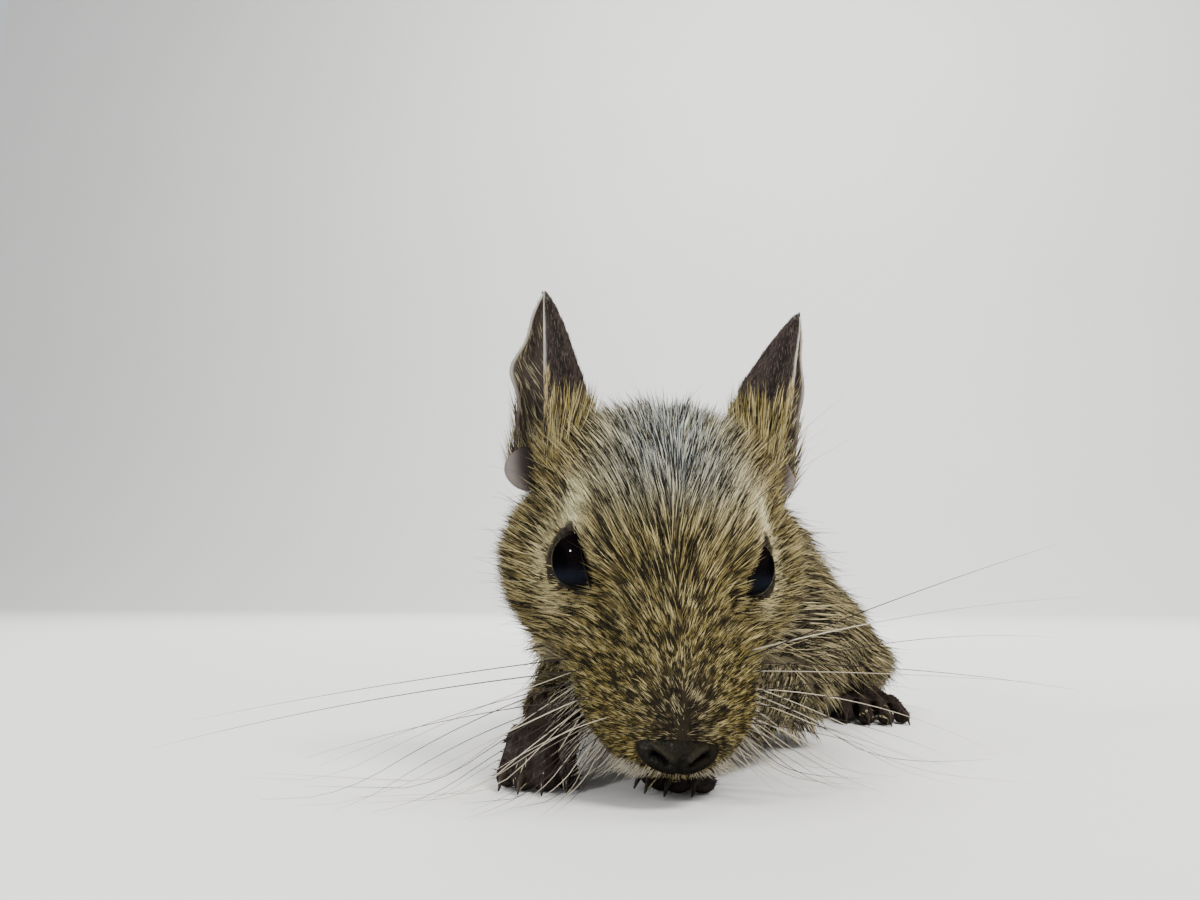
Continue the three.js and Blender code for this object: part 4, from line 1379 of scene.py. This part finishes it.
def bristles(name, lines, thickness, tones, replaced=(), sides=6):
    """lines is (count, steps, 3); thickness and tones are given at each of its points."""
    count, steps = lines.shape[:2]
    mesh = bpy.data.meshes.new(name)
    index = np.arange(count * steps).reshape(count, steps)
    edges = np.stack([index[:, :-1].ravel(), index[:, 1:].ravel()], 1)
    mesh.from_pydata((lines.reshape(-1, 3) * MM).tolist(), edges.tolist(), [])
    mesh.attributes.new("thickness", "FLOAT", "POINT").data.foreach_set(
        "value", (thickness.ravel() * MM * 0.5).astype(np.float32)
    )
    paint_points(mesh, tones.reshape(-1, 3))
    obj = bpy.data.objects.new(name, mesh)
    bpy.context.scene.collection.objects.link(obj)
    sweep = obj.modifiers.new("sweep", "NODES")
    sweep.node_group = BRISTLES
    for item in BRISTLES.interface.items_tree:
        if item.name == "Material":
            sweep[item.identifier] = BRISTLE
        if item.name == "Sides":
            sweep[item.identifier] = sides
    made = bpy.data.meshes.new_from_object(obj.evaluated_get(bpy.context.evaluated_depsgraph_get()))
    bpy.data.objects.remove(obj)
    made.name = name
    piece(name, made, BRISTLE, replaced)


def swept_lines(root, out, bend, length, steps=14):
    """Lines that leave the root along out and curve by bend at their end, levelling off near the floor."""
    t = np.linspace(0, 1, steps)[None, :, None]
    lines = root[:, None] + out[:, None] * length[:, None, None] * t + bend[:, None] * t**2
    low = lines[..., 2]
    lines[..., 2] = np.where(low > 4, low, 1.0 + 3.0 * np.exp((low - 4) / 4))
    return lines


PALE_WHISKER = vec(0.52, 0.46, 0.35)
DARK_WHISKER = vec(0.035, 0.026, 0.022)


def tapered(lines, width):
    t = np.linspace(0, 1, lines.shape[1])[None]
    return width[:, None] * (1 - 0.88 * t**1.2)


# Whiskers fan from level to steep at each side: degrees above the level, for the first and last row
WHISKER_FAN = {"left": (16, -44), "right": (-6, -64)}
SIDEWAYS = unit(vec(0.974, 0.225, 0))
FORWARD = unit(vec(0.225, -0.974, 0))


def make_whiskers(name):
    side = SIDES[name]
    rows, columns = 5, 6
    row, column = np.meshgrid(np.arange(rows), np.arange(columns), indexing="ij")
    row, column = row.ravel(), column.ravel()
    count = len(row)
    root = np.stack([np.full(count, side * 7.0), -20.4 + 1.9 * column, -5.2 - 1.25 * row], 1)
    root = from_head(root + rng.normal(0, 0.25, (count, 3)))
    first, last = WHISKER_FAN[name]
    rise = np.radians(first + (last - first) * row / (rows - 1) + rng.normal(0, 5, count))[:, None]
    ahead = (0.62 - 0.16 * column + rng.normal(0, 0.08, count))[:, None]
    out = unit(SIDEWAYS * side * np.cos(rise) + vec(0, 0, 1) * np.sin(rise) + FORWARD * ahead)
    length = (20 + 6.6 * column) * (1 - 0.09 * row) * rng.uniform(0.75, 1.1, count)
    sag = -rng.uniform(0.03, 0.26, count) * length
    bend = np.stack([-side * 0.1 * length * rng.random(count), rng.normal(0, 0.08, count) * length, sag], 1)
    lines = swept_lines(root - out * 1.0, out, bend, length, 16)
    # the longest one reaches as far sideways as the solid it stands for
    far = np.abs(cad_box[1 if side > 0 else 0][0]) / MM
    start = lines[:, :1]
    stretch = np.min((far - np.abs(start[..., 0])) / np.abs(lines - start)[..., 0].max(1, keepdims=True))
    lines = start + (lines - start) * stretch
    lines[..., 2] = np.maximum(lines[..., 2], 0.15)
    width = (0.12 + 0.014 * column) * rng.uniform(0.75, 1.1, count)
    dark = rng.random(count) < 0.7 - 0.12 * row
    tone = np.where(dark[:, None], DARK_WHISKER, PALE_WHISKER * rng.uniform(0.75, 1.15, (count, 1)))
    t = np.linspace(0, 1, lines.shape[1])[None, :, None]
    tones = mix(tone[:, None] * 0.6, tone[:, None], ramp(t, 0, 0.25))
    bristles(f"vibrissae_{name}", lines, tapered(lines, width), tones, [f"whiskers_{name}"])


def grown_bristles(name, count, density, aim, length, width, tone, sag=0.12, stray=0.2):
    """Fine hairs set on the skin; aim gives the way they point at each root."""
    root, normal = skin.scatter(count, density)
    out = unit(aim(root, normal) + stray * rng.normal(size=root.shape))
    length = length(to_head(root)) * rng.uniform(0.55, 1.15, count)
    waver = 0.06 * length * rng.normal(size=count)
    drop = -sag * length * rng.uniform(0.4, 1.4, count)
    bend = np.stack([waver, waver, drop], 1)
    lines = swept_lines(root - out * 0.4, out, bend, length, 6)
    shades = tone(root) * rng.uniform(0.6, 1.15, (count, 1))
    tones = np.repeat(shades[:, None], lines.shape[1], 1)
    bristles(name, lines, tapered(lines, np.full(count, width)), tones, sides=4)


def make_lip_hairs():
    """The short pale hairs under the nose pad and the longer ones hanging from the lips and chin."""

    def lips(p):
        x, y, z = to_head(p).T
        return (np.abs(x) < 5.5) * (y < -17) * (z < -8.2) * (z > -12.5) * clear_of_bare(p)

    def jowl(p):
        x, y, z = to_head(p).T
        x = np.abs(x)
        return (x > 2.5) * (x < 9.5) * (y < -8) * (z < -9.5) * clear_of_bare(p)

    def hanging(spread, ahead, down, raised):
        """A way to point that spreads to the sides and is raised off the skin."""

        def aim(p, n):
            way = np.stack([spread * to_head(p)[:, 0], np.full(len(p), ahead), np.full(len(p), down)], 1)
            return way @ HEAD_AXES.T + raised * n

        return aim

    def short(q):
        return mix(1.7, 2.6, ramp(np.abs(q[:, 0]), 1, 5))

    def longer(q):
        return mix(2.6, 6.5, ramp(np.abs(q[:, 0]), 3, 8))

    def pale(p):
        return np.repeat(PALE_WHISKER[None], len(p), 0)

    grown_bristles("lip_hairs", 520, lips, hanging(0.22, -0.45, -0.85, 0.5), short, 0.1, pale, 0.1, 0.16)
    grown_bristles("jowl_hairs", 330, jowl, hanging(0.16, -0.4, -0.7, 0.6), longer, 0.1, pale, 0.2, 0.22)


def make_guard_hairs():
    """Sparse long hairs that stand out beyond the coat."""

    def face(p):
        q = to_head(p)
        return on_trunk_head(p) * clear_of_bare(p) * ramp(q[:, 1], -8, 4)

    def raised(p, n):
        return flow(p, n) + 0.62 * n

    def tone(p):
        dark = rng.random((len(p), 1)) < 0.55
        return np.where(dark, DARK_WHISKER, mix(OLIVE, CREAM, 0.6))

    def body(p):
        return on_body(p) * (p[:, 2] > 4)

    grown_bristles("face_guard_hairs", 900, face, raised, lambda q: 6.5, 0.085, tone, 0.05)
    grown_bristles("body_guard_hairs", 900, body, raised, lambda q: 10, 0.11, tone, 0.05)


def make_brow_hairs():
    """A few long thin hairs above each eye, and the lashes at its upper corner."""

    def spread(count, *spans):
        return np.stack([rng.uniform(low, high, count) for low, high in spans], 1)

    lines, widths = [], []
    for name, side in SIDES.items():
        nose, over, out_axis = eye_basis(name)
        count = 6
        root = from_head(spread(count, (6.5, 9), (-1, 5), (5.5, 7)) * (side, 1, 1))
        out = head_direction(spread(count, (0.3, 1.0), (0, 0.9), (0.5, 1.1)) * (side, 1, 1))
        length = rng.uniform(12, 24, count)
        bend = spread(count, (-1, 3), (1, 5), (0, 3)) * (side, 1, -1)
        lines.append(swept_lines(root - out * 2, out, bend, length, 9))
        widths.append(np.full(count, 0.1))
        count = 14
        angle = np.radians(rng.uniform(75, 175, count))
        outward = nose * np.cos(angle)[:, None] + over * np.sin(angle)[:, None]
        root = EYES[name] + outward * (lid_reach(angle)[:, None] + 0.3) + out_axis * 2.4
        aim = unit(outward + 0.9 * out_axis + 0.2 * rng.normal(size=outward.shape))
        length = rng.uniform(1.0, 2.2, count)
        lines.append(swept_lines(root, aim, outward * 0.5, length, 9))
        widths.append(np.full(count, 0.06))
    lines = np.vstack(lines)
    tones = np.zeros(lines.shape) + DARK_WHISKER
    bristles("brow_hairs", lines, tapered(lines, np.concatenate(widths)), tones)


for name in SIDES:
    make_whiskers(name)
make_lip_hairs()
make_guard_hairs()
make_brow_hairs()

# Camera and light
PHOTO_SIZE = (1200, 900)
FOCAL_PIXELS = 1000
CAMERA_AZIMUTH = 13
CAMERA_PITCH = 8
EYES_PIXEL = (664.5, 561)
EYES_AWAY = 125.7


def set_camera():
    azimuth, pitch = math.radians(CAMERA_AZIMUTH), math.radians(CAMERA_PITCH)
    ahead = vec(-math.sin(azimuth) * math.cos(pitch), math.cos(azimuth) * math.cos(pitch), math.sin(pitch))
    right = vec(math.cos(azimuth), math.sin(azimuth), 0)
    over = np.cross(right, ahead)
    across = (EYES_PIXEL[0] - PHOTO_SIZE[0] / 2) / FOCAL_PIXELS * EYES_AWAY
    down = (EYES_PIXEL[1] - PHOTO_SIZE[1] / 2) / FOCAL_PIXELS * EYES_AWAY
    place = (HEAD_AT - ahead * EYES_AWAY - right * across + over * down) * MM
    data = bpy.data.cameras.new("camera")
    data.sensor_width = 36
    data.lens = FOCAL_PIXELS * data.sensor_width / PHOTO_SIZE[0]
    data.clip_start = 0.005
    camera = bpy.data.objects.new("camera", data)
    turn = Matrix([[right[i], over[i], -ahead[i]] for i in range(3)]).to_4x4()
    camera.matrix_world = Matrix.Translation(place) @ turn
    bpy.context.scene.collection.objects.link(camera)
    bpy.context.scene.camera = camera


def area_light(name, place, target, size, power, tint=(1, 1, 1), glint=False):
    """A round soft light; only those with a glint show as a highlight on the eyes."""
    data = bpy.data.lights.new(name, "AREA")
    data.shape = "DISK"
    data.size = size
    data.energy = power
    data.color = tint
    light = bpy.data.objects.new(name, data)
    light.location = place
    light.visible_glossy = glint
    light.rotation_euler = (Vector(target) - Vector(place)).to_track_quat("-Z", "Y").to_euler()
    bpy.context.scene.collection.objects.link(light)


def studio():
    """A pale floor that turns up into a backdrop far behind, under soft light."""
    half, start, rise, bend = 1.6, 0.9, 1.4, 0.5
    profile = [(-1.2, 0.0), (start, 0.0)]
    profile += [
        (start + bend * math.sin(a), bend * (1 - math.cos(a))) for a in np.linspace(0.1, math.pi / 2, 12)
    ]
    profile.append((start + bend, rise))
    verts = [(x / MM, y / MM, z / MM) for y, z in profile for x in (-half, half)]
    faces = [(2 * i, 2 * i + 1, 2 * i + 3, 2 * i + 2) for i in range(len(profile) - 1)]
    sheet = bpy.data.objects.new("studio_floor", new_mesh("studio_floor", verts, faces))
    paint = Paint("studio_paper", Roughness=0.9, Specular_IOR_Level=0.1)
    paper = paint.noise(6, 2)
    paint.feed("Base Color", paint.blend(paper, rgb(0.70, 0.69, 0.665), rgb(0.74, 0.73, 0.71)))
    sheet.data.materials.append(paint.material)
    bpy.context.scene.collection.objects.link(sheet)
    sheet.visible_glossy = False
    world = bpy.data.worlds.new("studio")
    world.use_nodes = True
    world.node_tree.nodes["Background"].inputs["Color"].default_value = (0.93, 0.96, 1.0, 1)
    world.node_tree.nodes["Background"].inputs["Strength"].default_value = 0.72
    world.cycles_visibility.glossy = False
    bpy.context.scene.world = world
    area_light("key", (0.46, -0.3, 0.68), (0, -0.05, 0.02), 0.32, 9.5, (1, 0.985, 0.96))
    area_light("fill", (-0.6, -0.5, 0.35), (0, -0.03, 0.02), 0.5, 1.1, (0.95, 0.98, 1))
    area_light("rim", (-0.2, 0.55, 0.6), (0, 0, 0.03), 0.4, 4.0)
    area_light("catch", (-0.19, -0.3, 0.193), (0, -0.07, 0.027), 0.03, 0.5, glint=True)
    area_light("wash", (0, 0.35, 1.1), (0, 1.35, 0.35), 0.9, 26)


set_camera()
studio()
